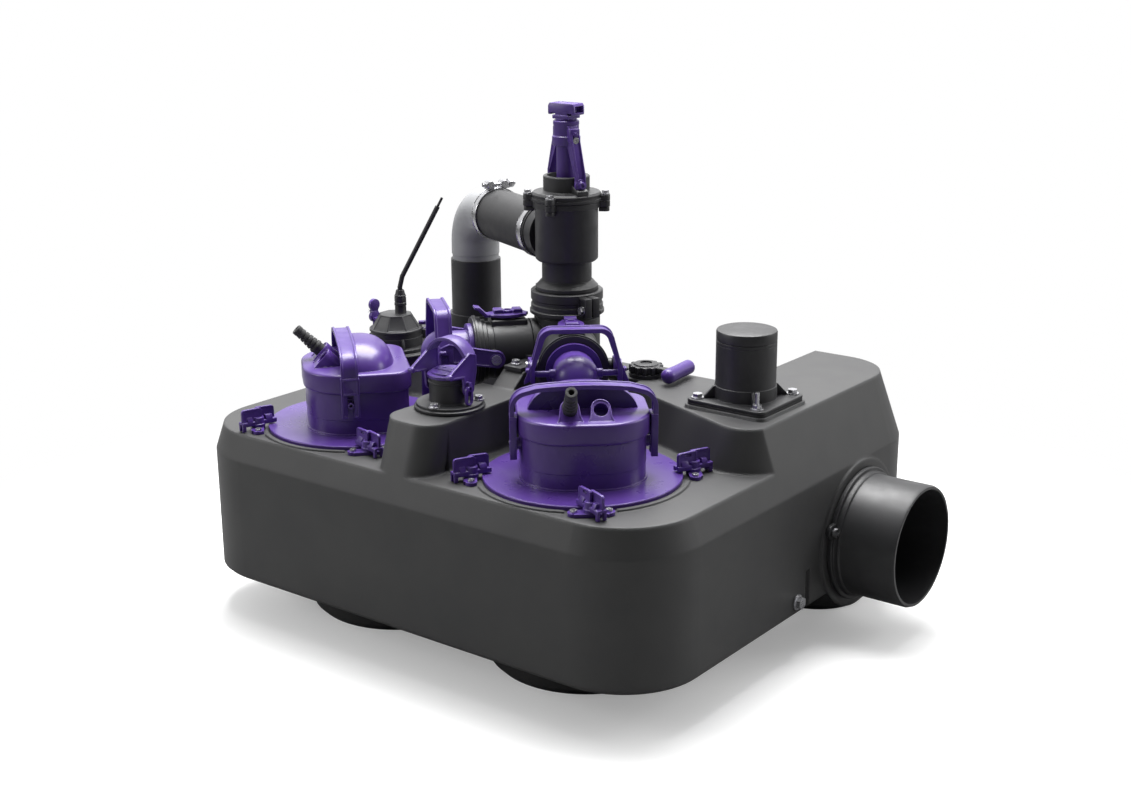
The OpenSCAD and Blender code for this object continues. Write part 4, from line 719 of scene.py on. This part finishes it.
def archLine(look, inset):
    w0, w1, r = look["half"] - inset, look["flat"] - inset * 0.4, look["shoulder"] - inset
    top = look["top"] - inset
    return ([(-w0, look["foot"]), (-w0, look["foot"] + 18)] + arc((-w1, top - r), r, 158, 90, 8)
        + arc((w1, top - r), r, 90, 22, 8) + [(w0, look["foot"] + 18), (w0, look["foot"])])


def makeLever(look):
    outer, inner = archLine(look, 0), archLine(look, look["band"])
    x0 = look["arch"] - look["depth"] / 2
    band = addPlate("leverBand", outer + inner[::-1], x0, x0 + look["depth"], "X")
    # groove along the outside, which leaves a rim at the front and at the back
    sink(band, onOutline(outer, look["foot"] + 19), 2.8, 0.6, 1.8)
    soften(band, *fineEdge)
    parts = []
    (px, pz), (rodX, rodZ), half, foot = look["pivot"], look["rod"], look["half"], look["foot"]
    for sign in (-1, 1):
        y0 = sign * half - (look["arm"] if sign > 0 else 0)
        # teardrop arm with a sunk face inside a raised rim
        outline = arc((px, pz), 12, -75, 100, 12) + [(114, 370), (104, 366), (105, 348), (114, 345)]
        arm = addPlate("leverArm", outline, y0, y0 + look["arm"], "Y")
        sink(arm, facing("y", sign), 2.2, 0.6, 1.2)
        soften(arm, *fineEdge)
        boss = addTurned("leverBoss", [(boreRadius, 0), (8.2, 0), (8.2, 4.6), (7.4, 5.2), (boreRadius, 5.2)], 40)
        move(boss, (px, y0 + (0 if sign > 0 else look["arm"]), pz), (-90 * sign, 0, 0))
        hookEnd = addRod("hookEnd", rodZ - foot - 4, 30, (rodX, sign * 55, rodZ), "Y")
        hookWay = addBlock("hookWay", (10, 30, 24), (rodX, sign * 55, rodZ - 12))
        pivotBore = addRod("pivotBore", boreRadius, 30, (px, sign * 55, pz), "Y")
        cut(arm, hookEnd, hookWay, pivotBore)
        # finger ear with a ribbed top
        ear = soften(addBlock("leverEar", (9, 8.6, 4.6), (look["arch"] - 3, sign * 58.4, foot + 14.5)), 1.1, 3)
        # flared toe under the ear
        toe = addPlate("leverToe", above(foot, [(sign * (half - 1), 24), (sign * (half + 8), 2),
            (sign * (half + 8), -2), (sign * (half - 1), 3)]), look["arch"] - 9, look["arch"] - 6, "X")
        parts.append(soften(toe, 0.6, 2, 40))
        ribs = [soften(addBlock("earRib", (8, 1, 1), (look["arch"] - 3, sign * (56.4 + 2 * i), foot + 16.9)), 0.3, 1)
            for i in range(3)]
        parts += [arm, boss, ear] + ribs
    hooks = []
    for y in (-54, 54):
        hooks += [addRod("footEnd", 5, 14, (rodX, y, rodZ), "Y"),
            addBlock("footWay", (10, 14, 24), (rodX, y, rodZ - 12))]
    cut(band, *hooks)
    return gather(band, *parts)


onPumps(makeLever(leverLook), "couplingLever_", "violet_plastic", "lever_")
print("levers")


# priming port: lid and bail
portLook = {"at": (0, -225), "lidSeat": 357, "axis": 345, "cheek": 4, "arch": 36, "archMiddle": 370,
    "depth": (-5, 14), "span": (28, 152)}


def makeLid(look):
    z = look["lidSeat"]
    lid = addTurned("portLid", above(z, [(0, 0.4), (26, 0.4), (26.9, 1), (26.9, 4.2), (26, 5), (22.6, 5.3),
        (22.2, 7.4), (21.4, 8), (0, 8)]), 72)
    plate = addPlate("lidPlate", arc((11, 0), 8, -90, 90, 10) + arc((-11, 0), 8, 90, 270, 10), z + 7.5, z + 9.6)
    cut(plate, *[addDrum("lidHole", 1.5, 8, (x, 0, z + 9), corners=24) for x in (-7, 7)])
    return move(gather(lid, soften(plate, 0.6, 2)), (*look["at"], 0))


def makeBail(look):
    z = look["axis"]
    front, back = look["depth"]
    parts = []
    for sign in (-1, 1):
        x0 = 29 if sign > 0 else -33
        outline = (arc((0, z), 9, 180, 360, 12) + [(14, z + 20), (14, z + 41), (2, z + 45)]
            + arc((-33.5, z + 21.5), 3.2, 110, 250, 6) + [(-10, z + 16)])
        cheek = addPlate("bailCheek", outline, x0, x0 + look["cheek"], "X")
        # sunk field inside a raised rim, on both sides
        for face in (-1, 1):
            sink(cheek, facing("x", face), 1.9, 0.5, 0.9)
        soften(cheek, *fineEdge)
        cut(cheek, addRod("cheekBore", boreRadius, 20, (x0 + 2, 0, z), "X"))
        knuckle = addTurned("cheekKnuckle", [(boreRadius, 0), (7, 0), (7, 3.2), (6.2, 4), (boreRadius, 4)], 32)
        move(knuckle, (29.2 if sign > 0 else -29.2, 0, z), (0, 90 * sign, 0))
        finger = soften(addRod("bailFinger", 3.4, 8, (x0 + 2, -34, z + 21.5), "X", 28), 0.8, 2)
        parts += [cheek, knuckle, finger]
    # hood between the cheeks, thin rim along its front edge
    middle, r, (start, end) = (0, look["archMiddle"]), look["arch"], look["span"]
    hood = addPlate("bailHood", arc(middle, r, start, end, 28) + arc(middle, r - 3, end, start, 28), front, back, "Y")
    rim = addPlate("bailRim", arc(middle, r + 0.2, start, end, 28) + arc(middle, r - 4.4, end, start, 28), front - 1,
        front + 2, "Y")
    # hanging link with an oval eye
    ring = addPlate("bailLink", arc((0, 5), 6.4, 0, 180, 12) + arc((0, -7), 6.4, 180, 360, 12), 33.4, 37, "X")
    cut(ring, addPlate("linkEye", arc((0, 3), 3, 0, 180, 10) + arc((0, -8), 3, 180, 360, 10), 30, 40, "X"))
    move(soften(ring, 0.9, 3, 40), (0, -4, z - 6))
    bar = soften(addBlock("linkBar", (6, 5, 12), (34, -2.5, z + 4)), 1, 2)
    piece = gather(soften(hood, *fineEdge), soften(rim, 0.6, 2, 40), ring, bar, *parts)
    return move(piece, (*look["at"], 0))


dress(makeLid(portLook), "portLid", "violet_plastic", "port_lid")
dress(makeBail(portLook), "portBail", "violet_plastic", "port_lever")
print("port")


# valve knobs
knobLook = {"out": 200, "seat": 391.2}


def makeKnob(look):
    z = look["seat"]
    # oval where two discs overlap, with a plain bar through it
    plate = addPlate("knobPlate", arc((0, -14), 31, 27, 153, 20) + arc((0, 14), 31, 207, 333, 20), z, z + 4)
    bar = soften(addBlock("knobBar", (48, 22, 3.8), (0, 0, z + 1.9)), 1, 3)
    soften(plate, 1, 3, 40)
    pointer = addPlate("knobPointer", above(z, [(-20, 0), (-20, 4), (-28, 4), (-37.5, 13.5), (-44.5, 15), (-45.4, 12),
        (-40.5, 9.5), (-31, 0)]), -8.5, 8.5, "Y")
    pickFaces(pointer, lambda middle, normal: normal.z > 0.5)
    bpy.ops.mesh.inset(thickness=1.4 / metre, depth=-0.6 / metre)
    doneEditing()
    blocks = []
    for sign in (-1, 1):
        block = addPlate("knobBlock", above(z, [(sign * 6, 3), (sign * 6, 7), (sign * 8, 9.6), (sign * 17.6, 9.6),
            (sign * 19, 8.4), (sign * 19, 3)]), -8, 8, "Y")
        sink(block, lambda middle, normal: abs(normal.y) > 0.9, 1.4, 0.3, 0.9)
        blocks.append(soften(block, *fineEdge))
    hub = addTurned("knobHub", above(z, [(2, 3), (7.4, 3), (7.4, 7.4), (6.6, 8), (4.6, 8), (4.4, 6.4), (2, 6.4)]), 40)
    shaft = addDrum("knobShaft", pinRadius, 15, (0, 0, z - 6.5), corners=32)
    return gather(plate, bar, soften(pointer, 0.6, 2, 40), hub, shaft, *blocks)


onPumps(move(makeKnob(knobLook), (knobLook["out"], 0, 0)), "valveKnob_", "violet_plastic", "knob_")
print("knobs")


# hose clamps
clampLook = {"at": valveLine["outlet"], "turn": valveLine["turn"], "places": (61, 199), "band": 37.6,
    "thick": 1.1, "width": 12}


def makeClamp(look):
    r, w = look["band"], look["width"]
    band = addTurned("clampBand", [(r - look["thick"], 0), (r - look["thick"], w), (r + 0.5, w), (r + 0.7, w - 0.5),
        (r, w - 1), (r, 1), (r + 0.7, 0.5), (r + 0.5, 0)], 96)
    move(band, (0, 0, 0), (0, 90, 0))
    parts = []
    for y in (-10, 12):
        barrel = addTurned("clampBarrel", [(0, 0), (5.2, 0), (6.2, 0.9), (6.2, 13.4), (5.2, 14.4), (0, 14.4)], 32)
        parts.append(move(barrel, (-1.2, y, r + 5.2), (0, 90, 0)))
        loop = addPlate("clampLoop", [(y - 5.6, r + 4.5), (y - 6.4, r - 0.6), (y + 6.4, r - 0.6), (y + 5.6, r + 4.5)],
            0.4, w - 0.4, "X")
        parts.append(soften(loop, 0.4, 1, 40))
    shank = addRod("clampShank", 2.6, 50, (6, -3, r + 5.2), "Y", 24)
    head = addHex("clampNut", 6.4, 7, (6, -21.5, r + 5.2), "Y", 0.6)
    washer = addRod("clampWasher", 6.6, 1.2, (6, -17.4, r + 5.2), "Y")
    tee = soften(addBlock("clampTee", (11.6, 3, 6.4), (6, 19.8, r + 5.2)), 0.7, 2)
    lockNut = addHex("clampLockNut", 4.6, 3.6, (6, 3, r + 5.2), "Y")
    return gather(band, shank, head, washer, tee, lockNut, *parts)


clamp = makeClamp(clampLook)
both = [move(twin(clamp, "hoseClamp"), (x, 0, 0)) for x in clampLook["places"]]
bpy.data.objects.remove(clamp)
dress(move(gather(*both), clampLook["at"], (0, 0, clampLook["turn"])), "hoseClamps", "clamp_steel", "hose_clamps")
print("clamps")


# drain lever on its ribbed hub
drainLook = {"at": (97, 61, 309.3), "lobes": 12, "hub": 19.6, "rib": 23}


def makeDrainHub(look):
    outline = []
    for i in range(look["lobes"]):
        a = 360 / look["lobes"] * i
        for turn, radius in ((-9, look["hub"]), (-6, look["rib"]), (6, look["rib"]), (9, look["hub"])):
            outline.append((radius * math.cos(math.radians(a + turn)), radius * math.sin(math.radians(a + turn))))
    hub = soften(addPlate("drainHub", outline, 5.4, 15.2), 0.8, 2, 25)
    crown = addTurned("drainCrown", [(8.1, 15), (17, 15), (16, 17), (12, 18), (8.1, 18)], 48)
    arm = addPlate("drainArm", [(10, -5), (30, -5.6), (44, -6.4), (44, 6.4), (30, 5.6), (10, 5)], 8, 14.6)
    return move(gather(hub, crown, soften(arm, 1.2, 3)), look["at"])


def makeDrainGrip(look):
    # round end, slightly waisted barrel, rounded shoulder
    profile = [(0, 0)] + arc((0, 10), 10, -80, 0, 8) + [(9.4, 34), (9.7, 58)] + arc((6.7, 64), 3, 0, 90,
        6) + [(0, 67)]
    grip = addTurned("drainGrip", profile, 48)
    move(grip, (0, 0, 0), (-90, 0, 5))
    return move(grip, (look["at"][0] + 51 + 0.9, look["at"][1] - 32, look["at"][2] + 12))


dress(makeDrainHub(drainLook), "drainHubBlack", "black_plastic", body="drain_body")
dress(makeDrainGrip(drainLook), "drainGrip", "violet_plastic", "drain_lever")
print("drain lever")


# shut-off valve: collar, cover, yoke, spindle
valveLook = {"at": valveLine["axis"], "lugs": valveLine["lugs"], "straps": (156, 336), "ears": (-20, 160),
    "earZ": 401, "footZ": 566}


def makeCollar(look):
    ring = addTurned("collarRing", [(41.8, 393.2), (49.5, 393.2), (49.5, 397.2), (48, 398.4), (48, 405),
        (46.6, 406.2), (46.6, 410.8), (48, 412), (48, 422.6), (46.6, 423.8), (41.8, 423.8)], 96)
    parts = []
    for angle in look["ears"]:
        for sign in (-1, 1):
            ear = addPlate("collarEar", [(43, 395), (62, 395), (62, 421), (43, 421)], 0.8 if sign > 0 else -11,
                11 if sign > 0 else -0.8, "Y")
            sink(ear, facing("y", sign), 3, 0.6, 2.2)
            soften(ear, 0.8, 2, 40)
            rib = soften(addBlock("earRib", (12, 4.6, 3), (55, sign * 8.6, 408)), 0.6, 1)
            parts += [swing(part, angle) for part in (ear, rib)]
        bolt = addRod("earBolt", 2.6, 30, (55, 0, look["earZ"]), "Y", 24)
        head = addHex("earHead", 5, 4, (55, -12.6, look["earZ"]), "Y")
        nut = addHex("earNut", 5, 4, (55, 12.6, look["earZ"]), "Y")
        parts += [swing(part, angle) for part in (bolt, head, nut)]
    return move(gather(ring, *parts), look["at"])


def makeCover(look):
    cover = addTurned("coverPlate", [(25.2, 542.2), (45.4, 542.2), (46, 542.8), (46, 546), (44.6, 546.8), (44.6, 549),
        (46, 549.8), (46, 551.4), (43.5, 554), (31.6, 554.2), (30.5, 555.4), (30.5, 573.8), (29.5, 575),
        (25.2, 575)], 96)
    parts = []
    for angle in look["lugs"]:
        lug = addPlate("coverLug", arc((51, 0), 6.2, -90, 90, 14) + [(42, 6.2), (42, -6.2)], 534, 550)
        sink(lug, facing("z", -1), 1.6, 0.3, 2)
        soften(lug, 0.7, 2, 40)
        cut(lug, addBlock("lugSplit", (16, 14, 1), (54, 0, 542)))
        screw = addTurned("lugScrew", [(0, 549.6), (5, 549.6), (5, 550.6), (4.2, 550.8), (0, 550.8)], 32)
        parts += [swing(lug, angle), swing(move(screw, (51, 0, 0)), angle)]
    for angle in look["straps"]:
        pad = soften(addPlate("strapPad", [(28, 553), (28, 566), (33, 563), (45, 559), (45, 553)], -8, 8,
            "Y"), 0.8, 2, 30)
        parts.append(swing(pad, angle))
    return move(gather(cover, *parts), look["at"])


def makeYoke(look):
    drum = addTurned("yokeDrum", [(13.3, 614.2), (18, 614.2), (18.4, 614.8), (18.4, 625.4), (17.4, 626.2),
        (16.6, 627), (16.6, 640), (17, 641), (17, 645), (16, 646), (13.3, 646)], 72)
    parts = []
    for angle in look["straps"]:
        strap = addPlate("yokeStrap", [(13.6, 616), (13.6, 640), (17.5, 640), (21.4, 634), (38.2, 579), (38.2, 560.6),
            (34.2, 560.6), (34.2, 577)], -7, 7, "Y")
        for face in (-1, 1):
            sink(strap, facing("y", face), 1.2, 0.2, 0.8)
        soften(strap, 0.6, 2, 40)
        ribs = [soften(addPlate("strapRib", [(19, 630), (22.6, 634.4), (41.2, 578), (41.2, 566), (37, 566),
            (37, 578)], y - 1, y + 1, "Y"), 0.4, 1, 30) for y in (-5.2, 5.2)]
        head = soften(addBlock("strapHead", (10, 14, 17), (19, 0, 628)), 0.9, 2)
        bolt = addHex("strapBolt", 3.6, 3, (24.6, 0, 629), "X")
        foot = soften(addRod("strapFoot", 8, 5.4, (37.3, 0, look["footZ"]), "X", 40), 0.8, 2)
        screw = addTurned("strapScrew", [(0, 0), (5.4, 0), (5.4, 0.8), (3.9, 2.8), (2.4, 2.9), (2.2, 1.4),
            (0, 1.4)], 32)
        move(screw, (39.9, 0, look["footZ"]), (0, 90, 0))
        parts += [swing(part, angle) for part in (strap, head, bolt, foot, screw, *ribs)]
    return move(gather(drum, *parts), look["at"])


def makeSpindle(look):
    rod = addTurned("spindleRod", [(4.1, 487.2), (12.8, 487.2), (12.8, 646.4), (14, 646.6), (14, 648.4), (0, 648.4),
        (0, 503), (4.1, 503)], 56)
    block = soften(addBlock("spindleBlock", (26, 26, 5), (0, 0, 650.7)), 1, 3)
    outline = [(-9.5, 652.8), (9.5, 652.8), (9.5, 655.5), (17, 655.5), (17, 653.4), (20.4, 653.4), (21, 656),
        (21, 664.5), (18.6, 668), (-18.6, 668), (-21, 664.5), (-21, 656), (-20.4, 653.4), (-17, 653.4), (-17, 655.5),
        (-9.5, 655.5)]
    grip = addPlate("spindleGrip", outline, -11, 11, "Y")
    cut(grip, *[addBlock("gripHollow", (9, 17, 8.4), (sign * 18.4, 0, 660.4)) for sign in (-1, 1)])
    sink(grip, lambda middle, normal: normal.z > 0.95 and middle.z > 667, 1.6, 0.4, 0.8)
    soften(grip, 0.7, 2, 40)
    return move(gather(rod, block, grip), look["at"])


dress(makeCollar(valveLook), "splitCollar", "black_plastic", "collar")
dress(makeCover(valveLook), "valveCover", "black_plastic", "valve_cover")
dress(makeYoke(valveLook), "spindleYoke", "violet_plastic", "yoke")
dress(makeSpindle(valveLook), "spindleGrip", "violet_plastic", "spindle")
print("valve")


# level sensor: faceted cover, gland, wings
sensorLook = {"at": (-277, -24, 0), "coverSeat": 334.45, "glandSeat": 370.45, "wings": (172, 52)}


def makeSensorCover(look):
    z = look["coverSeat"]
    disc = addTurned("sensorDisc", above(z, [(0, 0), (36.8, 0), (37.6, 0.7), (37.6, 3.4), (36.9, 4.1), (0, 4.1)]), 80)
    facets = addDrum("sensorFacets", 35.6, 20, (0, 0, z + 14), (0, 0, 22.5), 8, 23.2)
    sink(facets, lambda middle, normal: 0.05 < normal.z < 0.95, 1.3, 0.3, 0.5, True)
    soften(facets, 1.4, 3, 25)
    boss = addTurned("sensorBoss", above(z, [(0, 20), (10.4, 20), (8, 25), (8, 34.6), (7, 35.6), (0, 35.6)]), 48)
    move(boss, (6.5, 4, 0))
    return move(gather(disc, facets, boss), look["at"])


def makeGland(look):
    z = look["glandSeat"]
    body = addTurned("glandBody", above(z, [(4.7, 0), (8.5, 0), (8.5, 3.8), (7.6, 4.4), (7.6, 12.4), (8.2, 12.8),
        (8.2, 14.4), (7.4, 15), (5.6, 22), (4.7, 22)]), 48)
    nut = soften(addDrum("glandNut", 8.7, 7.4, (0, 0, z + 8.4), corners=6), 0.7, 2, 20)
    cut(nut, addDrum("glandBore", 4.7, 20, (0, 0, z + 8), corners=40))
    return move(gather(body, nut), (look["at"][0] + 6.5, look["at"][1] + 4, 0))


def makeSensorWing(look, angle):
    lobes = [addRod("wingLobe", 8.4, 5.2, (48.5, 0, z), "X", 48) for z in (346, 363)]
    web = addPlate("wingWeb", [(-5.6, 343), (5.6, 343), (7, 349), (5, 354.5), (7, 360), (5.6, 366), (-5.6, 366),
        (-7, 360), (-5, 354.5), (-7, 349)], 46, 51, "X")
    plate = weld(web, *lobes)
    sink(plate, facing("x"), 1.6, 0.3, 1)
    soften(plate, 0.7, 2, 40)
    tongue = soften(addBlock("wingTongue", (4, 9.6, 18), (45.5, 0, 334.5)), 0.8, 2)
    knuckle = soften(addRod("wingKnuckle", 5, 9.6, (43, 0, 329.3), "Y"), 0.6, 2)
    hook = soften(addBlock("wingHook", (15, 8, 5), (40.5, 0, 342.25)), 0.7, 2)
    return move(gather(plate, tongue, knuckle, hook), look["at"], (0, 0, angle))


dress(makeSensorCover(sensorLook), "sensorCover", "black_plastic", "sensor_cover")
dress(makeGland(sensorLook), "cableGland", "black_plastic", "sensor_gland")
for side, angle in zip("lr", sensorLook["wings"]):
    dress(makeSensorWing(sensorLook, angle), "sensorWing_" + side, "violet_plastic", "sensor_wing_" + side)
print("sensor")


# vent pipe on its square flange, port body, inlet
ventLook = {"at": (275, 22), "plate": 316, "pipe": 38, "top": 389, "cap": 407, "half": (56, 53), "studs": 43}


def makeVent(look):
    z = look["plate"]
    plate = addPlate("ventPlate", roundedPlan(0, *look["half"], 10, 10, 8), z, z + 4.5)
    cut(plate, addDrum("ventWay", 34, 30, (0, 0, z), corners=64))
    soften(plate, 1, 3, 40)
    pipe = addTurned("ventPipe", [(34, z + 0.4), (39.6, z + 0.4), (39.6, z + 12), (39, z + 20), (38.2, z + 20.6),
        (38, z + 21.4), (38, look["top"] - 0.1), (34, look["top"] - 0.1)], 96)
    parts = []
    for angle in (45, 135, 225, 315):
        gusset = addPlate("ventGusset", above(z, [(38.6, 4), (38.6, 20), (41, 20), (53, 7), (53, 4)]), -2.4, 2.4, "Y")
        parts.append(swing(soften(gusset, 0.6, 2, 30), angle))
    for x in (-1, 1):
        for y in (-1, 1):
            boss = addTurned("ventBoss", above(z, [(3.4, 4), (8.6, 4), (8.2, 5.3), (3.4, 5.3)]), 40)
            parts.append(move(boss, (x * look["studs"], y * look["studs"], 0)))
    return move(gather(plate, pipe, *parts), (*look["at"], 0))


def makeVentCap(look):
    z, top, r = look["top"], look["cap"], look["pipe"]
    cap = addTurned("ventCap", [(33.9, z - 16), (33.9, z), (r, z + 0.15), (r, z + 3.8), (r - 0.9, z + 4.2),
        (r - 0.9, z + 4.9), (r, z + 5.3), (r, top - 2.4), (r - 0.7, top - 0.7), (r - 2.4, top), (0, top),
        (0, top - 3), (30, top - 3), (30, z - 16)], 96)
    return move(cap, (*look["at"], 0))


dress(makeVent(ventLook), "ventSocket", "black_plastic", "vent_socket")
dress(makeVentCap(ventLook), "ventCap", "black_plastic", "vent_cap")


def makePortBody(look):
    z = look["lidSeat"] - 0.15
    low = 317.5
    body = addTurned("portFlange", [(21, low), (43.2, low), (44, low + 0.8), (44, low + 3.4), (43.4, low + 4.1),
        (41.6, low + 4.6), (41.5, low + 7.4), (40.8, low + 8.1), (28, low + 8.1), (25.4, low + 9.4), (25, low + 10.6),
        (25, z - 7), (26, z - 6.4), (26, z - 4.8), (25, z - 4.2), (25, z), (21, z)], 80)
    pin = addRod("portPin", pinRadius, 68, (0, 0, look["axis"]), "X")
    root = addRod("portPinRoot", 6.2, 57, (0, 0, look["axis"]), "X")
    return move(gather(body, pin, root), (*look["at"], 0))


dress(makePortBody(portLook), "portBody", "black_plastic", "port_body")
print("vent and port body")

inletLook = {"y": 148, "z": 123, "face": 379.5, "end": 467, "pipe": 80, "wall": 5, "lugs": (18, 162, 288)}


def makeInlet(look):
    x0, x1, r = look["face"], look["end"], look["pipe"]
    pipe = addTurned("inletPipe", [(r - look["wall"], x0), (r + 8, x0), (r + 8, x0 + 4.2), (r + 7.2, x0 + 5),
        (r + 3.4, x0 + 5.4), (r + 3, x0 + 6), (r + 3, x0 + 11.4), (r + 2.4, x0 + 12), (r + 0.6, x0 + 12.6),
        (r, x0 + 14), (r, x1 - 4), (r - 1.6, x1), (r - look["wall"], x1)], 128)
    parts = []
    for angle in look["lugs"]:
        lug = addPlate("inletLug", arc((90, 0), 9, -75, 75, 12) + [(82, 12), (82, -12)], x0, x0 + 5)
        parts.append(swing(soften(lug, 0.7, 2, 40), angle))
    piece = gather(pipe, *parts)
    hold(piece)
    piece.matrix_world = Matrix.Translation(mm(0, look["y"], look["z"])) @ Matrix(((0, 0, 1, 0), (1, 0, 0, 0),
        (0, 1, 0, 0), (0, 0, 0, 1)))
    settle()
    return piece


dress(makeInlet(inletLook), "inletPipe", "black_plastic", "inlet_pipe")
print("inlet")


# discharge line: check valve, valve body, hose
lineLook = {"axis": leverLook["pivot"][1], "face": 151, "body": 39, "end": 229, "ring": 44,
    "pivot": leverLook["pivot"][0], "knob": knobLook["out"]}


def makeCheck(look):
    x0, r, z = look["face"], look["body"], look["axis"]
    ring = look["ring"]
    profile = [(30, x0 + 0.2), (ring, x0 + 0.2), (ring, x0 + 2.2), (46, x0 + 2.6), (46, x0 + 6), (ring, x0 + 6.4),
        (ring, x0 + 11.4), (ring - 0.8, x0 + 12), (r + 1.6, x0 + 12.2), (r + 1.6, x0 + 17.4), (r, x0 + 18),
        (r - 1, x0 + 18.4), (r - 1, x0 + 26), (r, x0 + 26.6), (r, look["end"] - 1), (r - 1, look["end"]),
        (r - 6, look["end"]), (r - 6, x0 + 10), (30, x0 + 10)]
    barrel = move(addTurned("checkBarrel", profile, 112), (0, 0, z), (0, 90, 0))
    parts = []
    for sign in (-1, 1):
        trunnion = addTurned("checkTrunnion", [(0, 30), (9, 30), (9, 50), (8, 51.4), (4, 51.6), (4, 56.8),
            (2.5, 56.8), (2.5, 46), (0, 46)], 40)
        parts.append(move(trunnion, (look["pivot"], 0, z), (-90 * sign, 0, 0)))
    bonnet = soften(addBlock("checkBonnet", (48, 34, 16), (look["knob"], 0, z + 34.5)), 2.2, 3)
    seat = addTurned("knobSeat", above(z, [(0, 30), (15.4, 30), (15.4, 42.4), (14.8, 43), (0, 43)]), 56)
    return gather(barrel, bonnet, move(seat, (look["knob"], 0, 0)), *parts)


onPumps(makeCheck(lineLook), "checkValve_", "black_plastic", "check_")
print("check valves")

valveBodyLook = {"at": valveLine["axis"], "outlet": valveLine["outlet"][2], "turn": valveLine["turn"],
    "lugs": valveLine["lugs"]}


def makeValveBody(look):
    profile = [(24, 405), (40, 405), (40, 424), (41.5, 424.4), (41.5, 429), (40.6, 429.8), (40, 430.2), (35.2, 435.8),
        (33, 436.4), (33, 461), (34, 462.6), (38.6, 463), (41.2, 465.4), (41.5, 466.4), (41.5, 532.6), (42.2, 533.6),
        (44.4, 534), (44.4, 541.2), (43.8, 541.8), (35.5, 541.8), (35.5, 467), (24, 467)]
    body = addTurned("valveBody", profile, 128)
    stub = addTurned("outletStub", [(29, 37), (36, 37), (36, 55), (35, 56), (33, 56.2), (33, 92), (29, 92)], 96)
    cut(body, move(addDrum("outletWay", 29.2, 60, (0, 0, 40)), (0, 0, look["outlet"]), (0, 90, look["turn"])))
    parts = [move(stub, (0, 0, look["outlet"]), (0, 90, look["turn"]))]
    for angle in look["lugs"]:
        lug = addPlate("bodyLug", arc((51, 0), 5.5, -90, 90, 12) + [(42.5, 5), (42.5, -5)], 528, 533.8)
        parts.append(swing(soften(lug, 0.8, 2, 40), angle))
    return move(gather(body, *parts), look["at"])


dress(makeValveBody(valveBodyLook), "valveBody", "black_plastic", "valve_body")
print("valve body")

hoseLook = {"at": valveLine["outlet"], "turn": valveLine["turn"], "start": 57, "end": 214, "radius": 36}


def makeHose(look):
    r, x0, x1 = look["radius"], look["start"], look["end"]
    profile = [(33.1, x0), (r + 0.4, x0), (r + 0.8, x0 + 0.8), (r + 0.8, x0 + 2.6), (r, x0 + 3.4), (r, x1 - 3),
        (r - 0.5, x1 - 0.4), (r - 1, x1), (33.1, x1)]
    hose = move(addTurned("rubberHose", profile, 112), (0, 0, 0), (0, 90, 0))
    return move(hose, look["at"], (0, 0, look["turn"]))


dress(makeHose(hoseLook), "rubberHose", "seal_rubber", "hose")
print("hose")

sensorBaseLook = {"at": sensorLook["at"], "low": 309.3, "radius": 37.5, "bolts": (70, 190, 310),
    "wings": sensorLook["wings"]}


def makeSensorBase(look):
    z, r = look["low"], look["radius"]
    base = addTurned("sensorRing", above(z, [(16, -199.3), (20, -199.3), (20, 0), (45.4, 0), (46, 0.6), (46, 4.2),
        (45.2, 5), (38, 5.4), (36.2, 6), (36, 7.6), (r, 8.2), (r, 17.8), (36, 18.2), (36, 25), (29.5, 25), (29.5, 9),
        (16, 9)]), 96)
    parts = []
    for angle in look["bolts"]:
        ear = addTurned("sensorEar", above(z, [(3.4, 0), (8.4, 0), (9, 0.6), (9, 4.4), (8.4, 5), (3.4, 5)]), 40)
        parts.append(swing(move(ear, (50, 0, 0)), angle))
        rib = soften(addPlate("sensorRib", above(z, [(36, 4), (36, 19), (39, 19), (45, 6), (45, 4)]), -1.6, 1.6,
            "Y"), 0.5, 2, 30)
        parts.append(swing(rib, angle + 17))
    for angle in look["wings"]:
        for y in (-7, 7):
            lug = addPlate("wingLug", [(34, z + 12), (45, z + 12)] + arc((43, z + 20), 5, -30, 120, 8)
                + [(34, z + 26)], y - 2, y + 2, "Y")
            parts.append(swing(soften(lug, 0.6, 2, 35), angle))
        pin = addRod("wingPin", 2.5, 16, (43, 0, z + 20), "Y", 24)
        parts.append(swing(pin, angle))
    return move(gather(base, *parts), look["at"])


dress(makeSensorBase(sensorBaseLook), "sensorBase", "black_plastic", "sensor_base")
print("sensor base")
